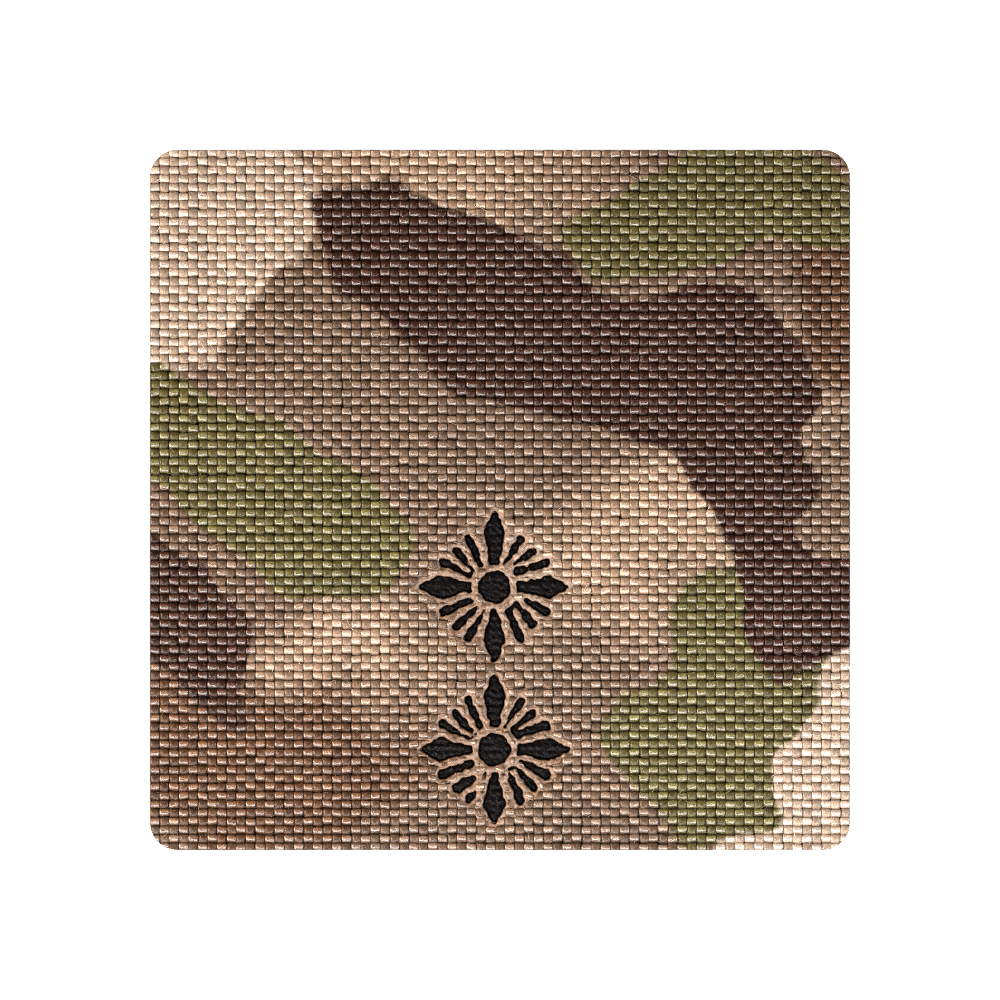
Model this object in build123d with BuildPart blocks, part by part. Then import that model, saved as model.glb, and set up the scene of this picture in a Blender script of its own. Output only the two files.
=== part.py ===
from build123d import *
from collections import namedtuple
from math import cos, radians, sin
import os

# Square cloth rank patch, printed face up. The origin is at the middle of its hook side,
# +X to the wearer's print right, +Y to the print's top edge, +Z out of the printed face.
# All lengths are in millimetres.

# Whole patch
patch_side = 50.0
corner_radius = 2.0
glue_gap = 0.05

# Layers, from the bottom up
hook_thickness = 1.4
hook_inset = 0.30
ground_thickness = 1.0
ground_inset = 0.12
face_thickness = 1.0
face_edge_round = 0.15

# Two rayed stars on one upright line, cut through the face
star_radius = 5.35
star_gap = 0.90
star_edge_gap = 1.85
star_offset_x = -0.40
hub_radius = 1.13
ring_width = 0.50
arm_width = 1.60
ray_width = 0.60

# The ground cloth is pressed up into the wide part of each opening
land_depth = 0.45
land_clearance = 0.06

# Heights worked out from the layers
ground_base = hook_thickness + glue_gap
face_base = ground_base + ground_thickness + glue_gap
face_top = face_base + face_thickness
land_top = face_top - land_depth

# Star places worked out from the gaps
low_star_y = star_edge_gap + star_radius - patch_side / 2
high_star_y = low_star_y + 2 * star_radius + star_gap
inner_radius = hub_radius + ring_width
reach = star_radius - inner_radius

# Four pointed arms: widths as shares of arm_width, from the hub outwards, at arm_stations.
# The tips are as blunt or sharp as the cut left them.
Arm = namedtuple("Arm", "angle base waist shoulder wide tip")
arm_stations = (0.0, 0.18, 0.38, 0.63)

# Three slim rays between two arms: where the foot and the head lie, as shares of the reach,
# and widths as shares of ray_width at ray_stations along the ray.
Ray = namedtuple("Ray", "foot_angle head_angle start end foot neck body head")
ray_stations = (0.0, 0.25, 0.50, 1.0)

# A narrow slit that joins two feet: ends as angle and share of the reach
Slit = namedtuple("Slit", "angle_a reach_a angle_b reach_b width")

Star = namedtuple("Star", "centre_y arms rays slits")

high_star = Star(
    high_star_y,
    [
        Arm(0, 0.52, 0.46, 0.70, 1.00, 0.12),
        Arm(90, 0.47, 0.50, 0.66, 0.92, 0.28),
        Arm(180, 0.41, 0.46, 0.75, 1.03, 0.14),
        Arm(270, 0.18, 0.47, 0.66, 0.97, 0.28),
    ],
    [
        Ray(34, 25, 0.09, 0.65, 0.80, 0.75, 0.65, 1.00),
        Ray(49, 43, 0.15, 0.56, 0.24, 0.42, 0.67, 0.87),
        Ray(68, 61, 0.04, 0.60, 0.20, 0.20, 0.70, 0.87),
        Ray(122, 118, 0.07, 0.64, 0.55, 0.63, 0.87, 0.72),
        Ray(142, 137, 0.09, 0.58, 0.47, 0.38, 0.73, 0.87),
        Ray(156, 154, 0.11, 0.66, 0.43, 0.22, 0.60, 0.97),
        Ray(210, 206, 0.09, 0.66, 0.67, 0.70, 0.80, 1.00),
        Ray(230, 226, 0.08, 0.59, 0.40, 0.53, 0.70, 1.10),
        Ray(247, 243, 0.05, 0.65, 0.30, 0.25, 0.60, 0.97),
        Ray(300, 297, 0.10, 0.68, 0.75, 0.63, 0.83, 0.87),
        Ray(321, 316, 0.09, 0.58, 0.47, 0.57, 0.80, 1.00),
        Ray(337, 334, 0.21, 0.66, 0.42, 0.60, 0.80, 1.00),
    ],
    [
        Slit(141, 0.07, 156, 0.09, 0.36),
        Slit(299, 0.08, 321, 0.08, 0.36),
    ],
)
low_star = Star(
    low_star_y,
    [
        Arm(0, 0.50, 0.50, 0.70, 1.04, 0.14),
        Arm(90, 0.44, 0.50, 0.72, 0.95, 0.28),
        Arm(180, 0.30, 0.42, 0.72, 1.10, 0.14),
        Arm(270, 0.22, 0.44, 0.68, 1.05, 0.14),
    ],
    [
        Ray(34, 25, 0.09, 0.66, 0.80, 0.75, 0.90, 1.10),
        Ray(47, 43, 0.11, 0.57, 0.70, 0.27, 0.60, 0.97),
        Ray(66, 61, 0.05, 0.61, 0.25, 0.32, 0.60, 0.92),
        Ray(122, 118, 0.07, 0.65, 0.63, 0.57, 0.83, 0.77),
        Ray(141, 137, 0.22, 0.58, 0.57, 0.87, 0.83, 0.87),
        Ray(157, 154, 0.09, 0.66, 0.33, 0.18, 0.53, 1.00),
        Ray(210, 206, 0.10, 0.66, 0.97, 0.73, 0.73, 1.10),
        Ray(233, 226, 0.23, 0.59, 0.60, 1.03, 1.17, 1.10),
        Ray(245, 242, 0.46, 0.64, 0.37, 0.58, 0.75, 0.87),
        Ray(303, 297, 0.09, 0.66, 0.18, 0.60, 0.80, 1.00),
        Ray(321, 316, 0.09, 0.60, 0.27, 0.23, 0.63, 0.97),
        Ray(337, 334, 0.09, 0.67, 0.20, 0.33, 0.73, 1.10),
    ],
    [
        Slit(40, 0.09, 47, 0.12, 0.70),
        Slit(139, 0.03, 141, 0.22, 0.22),
        Slit(139, 0.03, 157, 0.05, 0.20),
        Slit(250, 0.04, 251, 0.14, 0.23),
        Slit(304, 0.05, 320, 0.08, 0.20),
    ],
)
stars = (high_star, low_star)


def polar(centre_y, angle, radius):
    """Point at an angle and a distance from a star's centre."""
    return Vector(
        star_offset_x + radius * cos(radians(angle)),
        centre_y + radius * sin(radians(angle)),
    )


def strip(foot, head, stations, widths, round_foot):
    """Outline that runs from foot to head with the given widths, its head rounded off."""
    along = (head - foot).normalized()
    across = Vector(-along.Y, along.X)
    span = (head - foot).length
    left = [foot + along * (t * span) + across * (w / 2) for t, w in zip(stations, widths)]
    right = [foot + along * (t * span) - across * (w / 2) for t, w in zip(stations, widths)]
    with BuildSketch() as outline:
        with BuildLine():
            Polyline(*left)
            ThreePointArc(left[-1], head + along * (widths[-1] / 2), right[-1])
            Polyline(*reversed(right))
            if round_foot:
                ThreePointArc(right[0], foot - along * (widths[0] / 2), left[0])
            else:
                Line(right[0], left[0])
        make_face()
    return outline.sketch


def arm_outline(centre_y, arm, clearance):
    """Pointed arm, made smaller all round by the clearance."""
    shares = (arm.base, arm.waist, arm.shoulder, arm.wide, arm.tip)
    widths = [arm_width * share - 2 * clearance for share in shares]
    tip_radius = arm_width * arm.tip / 2
    foot = polar(centre_y, arm.angle, inner_radius + clearance)
    head = polar(centre_y, arm.angle, star_radius - tip_radius)
    return strip(foot, head, (*arm_stations, 1.0), widths, False)


def ray_outline(centre_y, ray):
    """Whole slim ray from its foot to its head."""
    widths = [ray_width * share for share in (ray.foot, ray.neck, ray.body, ray.head)]
    foot = polar(centre_y, ray.foot_angle, inner_radius + reach * ray.start)
    head = polar(centre_y, ray.head_angle, inner_radius + reach * ray.end)
    return strip(foot, head, ray_stations, widths, True)


def ray_land(centre_y, ray):
    """Outer half of a ray, from its body to its head, with the clearance taken off."""
    widths = [ray_width * share - 2 * land_clearance for share in (ray.body, ray.head)]
    foot = polar(centre_y, ray.foot_angle, inner_radius + reach * ray.start)
    head = polar(centre_y, ray.head_angle, inner_radius + reach * ray.end)
    body = foot + (head - foot) * ray_stations[2]
    return strip(body, head, (0.0, 1.0), widths, True)


def slit_outline(centre_y, slit):
    """Narrow slit between two feet."""
    ends = (
        polar(centre_y, slit.angle_a, inner_radius + reach * slit.reach_a),
        polar(centre_y, slit.angle_b, inner_radius + reach * slit.reach_b),
    )
    width = ray_width * slit.width
    return strip(*ends, (0.0, 1.0), (width, width), True)


# Outlines of the openings and of the lands that stand in them
windows = []
lands = []
for star in stars:
    windows += [arm_outline(star.centre_y, arm, 0.0) for arm in star.arms]
    windows += [ray_outline(star.centre_y, ray) for ray in star.rays]
    windows += [slit_outline(star.centre_y, slit) for slit in star.slits]
    lands += [arm_outline(star.centre_y, arm, land_clearance) for arm in star.arms]
    lands += [ray_land(star.centre_y, ray) for ray in star.rays]
hub_places = [(star_offset_x, star.centre_y) for star in stars]

os.makedirs("parts", exist_ok=True)

# Fastening: a plain plate that stands for the hook tape behind the cloth
with BuildPart() as hook_backing:
    with BuildSketch(Plane.XY):
        RectangleRounded(
            patch_side - 2 * hook_inset,
            patch_side - 2 * hook_inset,
            max(corner_radius - hook_inset, corner_radius / 2),
        )
    extrude(amount=hook_thickness)
hook_backing.part.label = "hook_backing"
export_step(hook_backing.part, "parts/hook_backing.step")

# Black ground cloth with a land in the wide part of every opening
with BuildPart() as ground_cloth:
    with BuildSketch(Plane.XY.offset(ground_base)):
        RectangleRounded(
            patch_side - 2 * ground_inset,
            patch_side - 2 * ground_inset,
            max(corner_radius - ground_inset, corner_radius / 2),
        )
    extrude(amount=ground_thickness)
    with BuildSketch(Plane.XY.offset(ground_base + ground_thickness)):
        with Locations(*hub_places):
            Circle(hub_radius - land_clearance)
        for land in lands:
            add(land)
    extrude(amount=land_top - ground_base - ground_thickness)
ground_cloth.part.label = "ground_cloth"
export_step(ground_cloth.part, "parts/ground_cloth.step")

# Printed face cloth, its upper edge a little rounded, with the stars cut through
with BuildPart() as face_cloth:
    with BuildSketch(Plane.XY.offset(face_base)):
        RectangleRounded(patch_side, patch_side, corner_radius)
    extrude(amount=face_thickness)
    fillet(face_cloth.faces().sort_by(Axis.Z)[-1].edges(), min(face_edge_round, face_thickness / 3))
    with BuildSketch(Plane.XY.offset(face_base)):
        with Locations(*hub_places):
            Circle(hub_radius)
        for window in windows:
            add(window)
    extrude(amount=face_thickness, mode=Mode.SUBTRACT)
face_cloth.part.label = "face_cloth"
export_step(face_cloth.part, "parts/face_cloth.step")
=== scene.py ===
"""Square camouflage rank patch: woven printed face with two rayed stars cut through, black ground, hook tape.

Lengths are in millimetres until a mesh is made, which is in metres. The patch lies on its hook side,
+Z comes out of the printed face and +Y points to the top edge of the print.
"""

import logging
import math
from dataclasses import dataclass, field
from enum import Enum
from typing import Any, Sequence

import bpy
import numpy as np
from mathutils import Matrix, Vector, noise
from mathutils.geometry import delaunay_2d_cdt
from mathutils.kdtree import KDTree


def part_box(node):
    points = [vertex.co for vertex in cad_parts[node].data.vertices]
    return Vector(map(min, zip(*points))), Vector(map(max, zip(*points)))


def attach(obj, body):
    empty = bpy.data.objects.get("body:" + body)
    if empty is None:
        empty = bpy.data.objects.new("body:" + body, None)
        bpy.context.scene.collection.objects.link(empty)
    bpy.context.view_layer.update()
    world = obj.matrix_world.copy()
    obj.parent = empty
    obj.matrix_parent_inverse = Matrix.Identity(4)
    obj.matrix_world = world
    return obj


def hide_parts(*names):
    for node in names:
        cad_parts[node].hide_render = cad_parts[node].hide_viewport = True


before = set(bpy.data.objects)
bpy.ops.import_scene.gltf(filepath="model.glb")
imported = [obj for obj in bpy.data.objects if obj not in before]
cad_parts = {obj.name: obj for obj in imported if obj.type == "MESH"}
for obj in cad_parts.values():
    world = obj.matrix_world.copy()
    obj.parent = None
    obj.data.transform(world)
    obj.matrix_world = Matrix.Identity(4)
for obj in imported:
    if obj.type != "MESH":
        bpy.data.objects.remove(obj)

MM = 0.001
BODY = "root"
FLAT_MAP = "OFBake"
WARP_PITCH = 0.684
WEFT_PITCH = 0.611
LOG = logging.getLogger("rank_patch")


class Thread(Enum):
    """The two sets of yarns in the cloth. The value is the axis that a yarn lies across."""

    WARP = 0
    WEFT = 1


class Slot(Enum):
    """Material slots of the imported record."""

    PRINTED = "printed_cloth"
    BLACK = "black_cloth"
    HOOK = "hook_tape"


# Nodes


@dataclass
class NodeMaker:
    """Adds and links nodes in one shader or geometry tree."""

    tree: bpy.types.NodeTree

    def put(self, socket: bpy.types.NodeSocket, value: Any) -> None:
        """Links a socket to another, or sets its own value.

        Args:
            socket: the input socket.
            value: another node's output socket, or a plain value.
        """
        if isinstance(value, bpy.types.NodeSocket):
            self.tree.links.new(value, socket)
        else:
            socket.default_value = value

    def add(self, kind: str, inputs: dict | None = None, **settings: Any) -> bpy.types.Node:
        """Adds one node.

        Args:
            kind: Blender's name of the node type.
            inputs: values or sockets by input name or number.
            settings: properties of the node itself.

        Returns:
            The new node.
        """
        node = self.tree.nodes.new(kind)
        for name, value in settings.items():
            setattr(node, name, value)
        for name, value in (inputs or {}).items():
            self.put(node.inputs[name], value)
        return node

    def math(self, operation: str, a: Any, b: Any = 0.0, c: Any = 0.0) -> bpy.types.NodeSocket:
        """Returns the result of a Math node."""
        return self.add("ShaderNodeMath", {0: a, 1: b, 2: c}, operation=operation).outputs[0]

    def product(self, first: Any, *others: Any) -> Any:
        """Multiplies numbers from left to right.

        Args:
            first: a number or a socket.
            others: what it is multiplied by.

        Returns:
            The product.
        """
        for other in others:
            first = self.math("MULTIPLY", first, other)
        return first

    def vector(self, operation: str, a: Any, b: Any = (0.0, 0.0, 0.0)) -> bpy.types.NodeSocket:
        """Returns the vector or the length that a Vector Math node gives."""
        node = self.add("ShaderNodeVectorMath", {0: a, 1: b}, operation=operation)
        return node.outputs["Value" if operation == "LENGTH" else "Vector"]

    def split(self, vector: Any) -> bpy.types.NodeOutputs:
        """Returns the X, Y and Z sockets of a vector."""
        return self.add("ShaderNodeSeparateXYZ", {0: vector}).outputs

    def join(self, x: Any = 0.0, y: Any = 0.0, z: Any = 0.0) -> bpy.types.NodeSocket:
        """Returns a vector made of three numbers."""
        return self.add("ShaderNodeCombineXYZ", {0: x, 1: y, 2: z}).outputs[0]

    def blend(self, share: Any, a: Any, b: Any, mode: str = "MIX") -> bpy.types.NodeSocket:
        """Returns a colour between a and b.

        Args:
            share: how much of b there is, from 0 to 1.
            a: first colour.
            b: second colour.
            mode: Blender's name of the blend mode.

        Returns:
            The colour's socket.
        """
        node = self.add("ShaderNodeMix", data_type="RGBA", blend_type=mode)
        for number, value in ((0, share), (6, a), (7, b)):
            self.put(node.inputs[number], value)
        return node.outputs[2]

    def shaded(self, colour: Any, shade: Any) -> bpy.types.NodeSocket:
        """Returns a colour times a shade."""
        return self.blend(1.0, colour, self.join(shade, shade, shade), "MULTIPLY")

    def ease(self, value: Any, low: Any, high: Any, to_low: Any = 0.0, to_high: Any = 1.0) -> Any:
        """Returns value eased from the range low..high to the range to_low..to_high."""
        limits = {"Value": value, "From Min": low, "From Max": high, "To Min": to_low, "To Max": to_high}
        return self.add("ShaderNodeMapRange", limits, interpolation_type="SMOOTHSTEP").outputs[0]

    def grain(self, vector: Any, size: float, detail: float = 1.0) -> bpy.types.NodeOutputs:
        """Returns the outputs of a noise whose lumps are about size across, in the vector's unit."""
        values = {"Vector": vector, "Scale": 1.0 / size, "Detail": detail}
        return self.add("ShaderNodeTexNoise", values).outputs

    def drift(self, vector: Any, size: float, detail: float = 1.0) -> bpy.types.NodeSocket:
        """Returns a noise vector about zero whose lumps are about size across."""
        return self.vector("SUBTRACT", self.grain(vector, size, detail)["Color"], (0.5, 0.5, 0.5))

    def attribute(self, name: str) -> bpy.types.NodeSocket:
        """Returns a number that is stored on the surface, in a shader tree."""
        return self.add("ShaderNodeAttribute", attribute_name=name).outputs["Fac"]

    def named(self, name: str) -> bpy.types.NodeSocket:
        """Returns a number that is stored on the points, in a geometry tree."""
        node = self.add("GeometryNodeInputNamedAttribute", {"Name": name}, data_type="FLOAT")
        return node.outputs["Attribute"]

    def index(self) -> bpy.types.NodeSocket:
        """Returns each point's number, in a geometry tree."""
        return self.add("GeometryNodeInputIndex").outputs[0]

    def store(self, geometry: Any, name: str, value: Any) -> bpy.types.NodeSocket:
        """Returns geometry with a named number stored on its points."""
        inputs = {"Geometry": geometry, "Name": name, "Value": value}
        return self.add("GeometryNodeStoreNamedAttribute", inputs, data_type="FLOAT").outputs[0]

    def shift(self, geometry: Any, offset: Any) -> bpy.types.NodeSocket:
        """Returns geometry whose points are moved by an offset."""
        return self.add("GeometryNodeSetPosition", {"Geometry": geometry, "Offset": offset}).outputs[0]

    def place(self, geometry: Any, position: Any) -> bpy.types.NodeSocket:
        """Returns geometry whose points are set at a position."""
        return self.add("GeometryNodeSetPosition", {"Geometry": geometry, "Position": position}).outputs[0]

    def curve(self, mesh: Any) -> bpy.types.NodeSocket:
        """Returns the curves along a mesh's loose edges."""
        return self.add("GeometryNodeMeshToCurve", {"Mesh": mesh}).outputs[0]

    def upright(self, curve: Any) -> bpy.types.NodeSocket:
        """Returns curves whose sections stand upright."""
        return self.add("GeometryNodeSetCurveNormal", {"Curve": curve}, mode="Z_UP").outputs[0]

    def ring(self, sides: Any, radius: Any) -> bpy.types.NodeSocket:
        """Returns a circle for a section."""
        inputs = {"Resolution": sides, "Radius": radius}
        return self.add("GeometryNodeCurvePrimitiveCircle", inputs, mode="RADIUS").outputs[0]

    def sweep(self, curve: Any, section: Any, capped: bool = True) -> bpy.types.NodeSocket:
        """Returns a section swept along curves."""
        inputs = {"Curve": curve, "Profile Curve": section, "Fill Caps": capped}
        return self.add("GeometryNodeCurveToMesh", inputs).outputs[0]

    def chance(self, low: Any, high: Any, seed: Any) -> bpy.types.NodeSocket:
        """Returns a random number or vector for each point.

        Args:
            low: least value, a number or a tuple of three.
            high: greatest value, of the same kind.
            seed: the seed's value or socket.

        Returns:
            The random value's socket.
        """
        is_vector = isinstance(low, tuple)
        first, kind, output = (0, "FLOAT_VECTOR", 0) if is_vector else (2, "FLOAT", 1)
        inputs = {first: low, first + 1: high, "ID": self.index(), "Seed": seed}
        return self.add("FunctionNodeRandomValue", inputs, data_type=kind).outputs[output]

    def dress(self, geometry: Any, material: Any, result: bpy.types.NodeSocket) -> None:
        """Ends a geometry tree: makes instances real and gives them their material.

        Args:
            geometry: what the tree made.
            material: the material's socket.
            result: the tree's output socket.
        """
        whole = self.add("GeometryNodeRealizeInstances", {"Geometry": geometry}).outputs[0]
        dressed = self.add("GeometryNodeSetMaterial", {"Geometry": whole, "Material": material})
        self.put(result, dressed.outputs[0])


def new_group(name: str, kind: str, sockets: Sequence[tuple]) -> tuple[Any, Any, Any, NodeMaker]:
    """Makes an empty node group.

    Args:
        name: name of the group.
        kind: ShaderNodeTree or GeometryNodeTree.
        sockets: name, IN or OUT, and socket type of each.

    Returns:
        The group, the sockets of its input node, those of its output node and a maker for its tree.
    """
    group = bpy.data.node_groups.new(name, kind)
    for label, way, socket_type in sockets:
        group.interface.new_socket(label, in_out=way + "PUT", socket_type="NodeSocket" + socket_type)
    make = NodeMaker(group)
    return group, make.add("NodeGroupInput").outputs, make.add("NodeGroupOutput").inputs, make


def new_tree(name: str, **inputs: Sequence[str]) -> tuple[Any, Any, Any, NodeMaker]:
    """Makes an empty geometry tree, with geometry and a material in and geometry out.

    Args:
        name: name of the tree.
        inputs: names of its other inputs by socket type.

    Returns:
        The tree, the sockets of its input node, those of its output node and a maker for it.
    """
    sockets = [("Geometry", "IN", "Geometry"), ("Material", "IN", "Material")]
    sockets.append(("Geometry", "OUT", "Geometry"))
    sockets += [(label, "IN", kind) for kind, labels in inputs.items() for label in labels]
    return new_group(name, "GeometryNodeTree", sockets)


# Meshes


def mesh_object(name: str, points: np.ndarray, faces: Sequence[Sequence[int]], smooth: bool = True) -> Any:
    """Makes a mesh object at the origin from points in millimetres.

    Args:
        name: piece name.
        points: n by 3 array in millimetres.
        faces: rows of vertex numbers.
        smooth: whether its faces are shaded smooth.

    Returns:
        The linked object.
    """
    mesh = bpy.data.meshes.new(name)
    mesh.from_pydata((points * MM).tolist(), [], [list(map(int, face)) for face in faces])
    set_smooth(mesh, smooth)
    mesh.update()
    return linked(name, mesh)


def linked(name: str, mesh: bpy.types.Mesh) -> bpy.types.Object:
    """Puts a mesh into the scene.

    Args:
        name: the object's name.
        mesh: the mesh.

    Returns:
        The new object.
    """
    piece = bpy.data.objects.new(name, mesh)
    bpy.context.scene.collection.objects.link(piece)
    return piece


def set_smooth(mesh: bpy.types.Mesh, smooth: bool) -> None:
    """Shades all of a mesh's faces smooth or flat."""
    mesh.polygons.foreach_set("use_smooth", [smooth] * len(mesh.polygons))


def read_vectors(rows: Any, name: str) -> np.ndarray:
    """Reads a vector property of a mesh's elements.

    Args:
        rows: the vertices or their normals.
        name: the property's name.

    Returns:
        n by 3 array.
    """
    flat = np.zeros(len(rows) * 3, np.float32)
    rows.foreach_get(name, flat)
    return flat.reshape(-1, 3).astype(float)


def write_points(mesh: bpy.types.Mesh, points: np.ndarray) -> None:
    """Sets the mesh's vertices from an array in millimetres."""
    mesh.vertices.foreach_set("co", (points * MM).astype(np.float32).ravel())
    mesh.update()


def read_values(mesh: bpy.types.Mesh, name: str) -> np.ndarray:
    """Reads a number that is stored on the vertices.

    Args:
        mesh: the mesh.
        name: the attribute's name.

    Returns:
        One number for each vertex.
    """
    values = np.zeros(len(mesh.vertices), np.float32)
    mesh.attributes[name].data.foreach_get("value", values)
    return values


def write_values(mesh: bpy.types.Mesh, name: str, values: np.ndarray) -> None:
    """Stores a number on the mesh's vertices."""
    mesh.attributes.new(name, "FLOAT", "POINT").data.foreach_set("value", values.astype(np.float32))


def chains(name: str, rows: Sequence[np.ndarray], closed: bool = False, **values: Sequence) -> Any:
    """Makes a base object of loose edge chains for a geometry tree, in millimetres.

    Args:
        name: name of the base.
        rows: one n by 3 array of points for each chain.
        closed: whether each chain's last point joins its first.
        values: named point attributes, as one array for each chain.

    Returns:
        The linked base object.
    """
    edges = []
    count = 0
    for row in rows:
        ids = list(range(count, count + len(row)))
        edges += list(zip(ids, ids[1:] + ids[:1] * closed))
        count += len(row)
    mesh = bpy.data.meshes.new(name)
    mesh.from_pydata(np.vstack(rows).tolist(), edges, [])
    for label, parts in values.items():
        write_values(mesh, label, np.concatenate(parts))
    return linked(name, mesh)


def run_tree(name: str, base: bpy.types.Object, tree: bpy.types.NodeTree, values: dict[str, Any]) -> Any:
    """Runs a geometry tree on a base object and keeps its result as a plain mesh.

    Args:
        name: name of the new mesh.
        base: object that carries the modifier, removed afterwards.
        tree: geometry node group.
        values: modifier inputs by socket name.

    Returns:
        The mesh, in the unit that the tree works in.
    """
    modifier = base.modifiers.new("maker", "NODES")
    modifier.node_group = tree
    for item in tree.interface.items_tree:
        if item.item_type == "SOCKET" and item.in_out == "INPUT" and item.name in values:
            modifier[item.identifier] = values[item.name]
    shown = base.evaluated_get(bpy.context.evaluated_depsgraph_get())
    mesh = bpy.data.meshes.new_from_object(shown)
    mesh.name = name
    base.modifiers.remove(modifier)
    bpy.data.objects.remove(base)
    return mesh


def smoothstep(values: Any, low: float, high: float) -> Any:
    """Returns 0 below low, 1 above high and an eased share between."""
    share = np.clip((values - low) / (high - low), 0.0, 1.0)
    return share * share * (3.0 - 2.0 * share)


def lumps(points: np.ndarray, size: float, plane: float) -> np.ndarray:
    """Returns smooth noise from about -1 to 1, with lumps of a size and its own plane of the noise."""
    return np.array([noise.noise(Vector((x / size, y / size, plane))) for x, y in points[:, :2].tolist()])


def rounded_square(half: float, radius: float, step: float) -> np.ndarray:
    """Draws an anticlockwise rounded square.

    Args:
        half: half of its side.
        radius: radius of its corners.
        step: distance between points, roughly.

    Returns:
        n by 2 points of the closed loop.
    """
    straight = half - radius
    sides = max(1, round(2 * straight / step))
    bend = np.radians(np.linspace(0.0, 90.0, max(4, round(radius * math.pi / 2 / step)) + 1))
    points = []
    for turn in range(4):
        angles = bend + turn * math.pi / 2
        middle = straight * np.sign([math.cos(angles.mean()), math.sin(angles.mean())])
        arc = middle + radius * np.column_stack([np.cos(angles), np.sin(angles)])
        along = np.array([-math.sin(angles[-1]), math.cos(angles[-1])])
        run = arc[-1] + np.linspace(0.0, 2 * straight, sides + 1)[1:-1, None] * along
        points += [arc, run]
    return np.vstack(points)


def into_rounded_square(flat: np.ndarray, half: float, radius: float) -> np.ndarray:
    """Moves points to the nearest place inside a rounded square.

    Args:
        flat: n by 2 points.
        half: half of the square's side.
        radius: radius of its corners.

    Returns:
        The moved points.
    """
    core = np.clip(flat, -(half - radius), half - radius)
    out = flat - core
    length = np.maximum(np.linalg.norm(out, axis=1), 1e-9)
    return core + out * np.minimum(1.0, radius / length)[:, None]


def with_height(flat: np.ndarray, height: float) -> np.ndarray:
    """Returns flat points raised to one height."""
    return np.column_stack([flat, np.full(len(flat), height)])


def bevelled_slab(name: str, half: float, radius: float, step: float, levels: Sequence[Any]) -> Any:
    """Makes a rounded square slab from rings laid one over another.

    Args:
        name: piece name.
        half: half of its side.
        radius: radius of its corners.
        step: distance between a ring's points, roughly.
        levels: inset and height of each ring, lowest first.

    Returns:
        The linked object.
    """
    rings = [with_height(rounded_square(half - inset, radius, step), height) for inset, height in levels]
    count = len(rings[0])
    faces = [list(range(count))[::-1]]
    for level in range(len(rings) - 1):
        low, high = level * count, (level + 1) * count
        for k in range(count):
            after = (k + 1) % count
            faces.append([low + k, low + after, high + after, high + k])
    faces.append(list(range((len(rings) - 1) * count, len(rings) * count)))
    return mesh_object(name, np.vstack(rings), faces)


def fill_plan(points: np.ndarray, loops: Sequence[np.ndarray]) -> tuple[np.ndarray, np.ndarray]:
    """Triangulates free points and closed loops, keeping the loops' edges.

    Args:
        points: n by 2 free points.
        loops: closed loops.

    Returns:
        All the points and the triangles between them, anticlockwise.
    """
    joined = [np.asarray(points).reshape(-1, 2)]
    edges = []
    count = len(joined[0])
    for loop in loops:
        ids = list(range(count, count + len(loop)))
        edges += list(zip(ids, ids[1:] + ids[:1]))
        joined.append(loop)
        count += len(loop)
    made = delaunay_2d_cdt([Vector(p) for p in np.vstack(joined).tolist()], edges, [], 0, 1e-5)
    plan = np.array([list(v) for v in made[0]])
    triangles = np.array(made[2])
    a, b, c = (plan[triangles[:, k]] for k in range(3))
    turn = (b - a)[:, 0] * (c - a)[:, 1] - (b - a)[:, 1] * (c - a)[:, 0]
    triangles[turn < 0] = triangles[turn < 0][:, ::-1]
    return plan, triangles[np.abs(turn) > 1e-7]


def thick_plate(plan: np.ndarray, triangles: np.ndarray, top: Any, bottom: float) -> tuple[Any, Any, Any]:
    """Closes a plan into a solid with an upper surface and a flat underside.

    Args:
        plan: n by 2 points.
        triangles: the kept triangles, anticlockwise.
        top: height of each point on the upper side.
        bottom: height of the underside.

    Returns:
        Points and faces of the closed mesh, and the plan's number for each point.
    """
    used = np.unique(triangles)
    number = np.full(len(plan), -1)
    number[used] = np.arange(len(used))
    triangles = number[triangles]
    count = len(used)
    upper = np.column_stack([plan[used], top[used]])
    points = np.vstack([upper, with_height(plan[used], bottom)])
    edges = np.vstack([triangles[:, [0, 1]], triangles[:, [1, 2]], triangles[:, [2, 0]]])
    border = edges[~np.isin(edges[:, 0] * count + edges[:, 1], edges[:, 1] * count + edges[:, 0])]
    walls = [(b, a, a + count, b + count) for a, b in border.tolist()]
    return points, triangles.tolist() + (triangles[:, ::-1] + count).tolist() + walls, np.tile(used, 2)


def thinned(points: np.ndarray, spacing: float) -> np.ndarray:
    """Thins points out.

    Args:
        points: n by 2 points.
        spacing: side of the squares that keep one point each.

    Returns:
        The points that are left.
    """
    cells = np.floor(points / spacing).astype(int)
    kept = np.unique(cells, axis=0, return_index=True)[1]
    return points[np.sort(kept)]


# Outlines read from the solids


def way_out(along: np.ndarray) -> np.ndarray:
    """Returns unit vectors to the right of the given ones, out of an anticlockwise loop."""
    out = np.column_stack([along[:, 1], -along[:, 0]])
    return out / np.maximum(np.linalg.norm(out, axis=1), 1e-12)[:, None]


def across_points(loop: np.ndarray) -> np.ndarray:
    """Returns, for each point of a closed loop, the run from the point before it to the one after it."""
    return np.roll(loop, -1, axis=0) - np.roll(loop, 1, axis=0)


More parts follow.
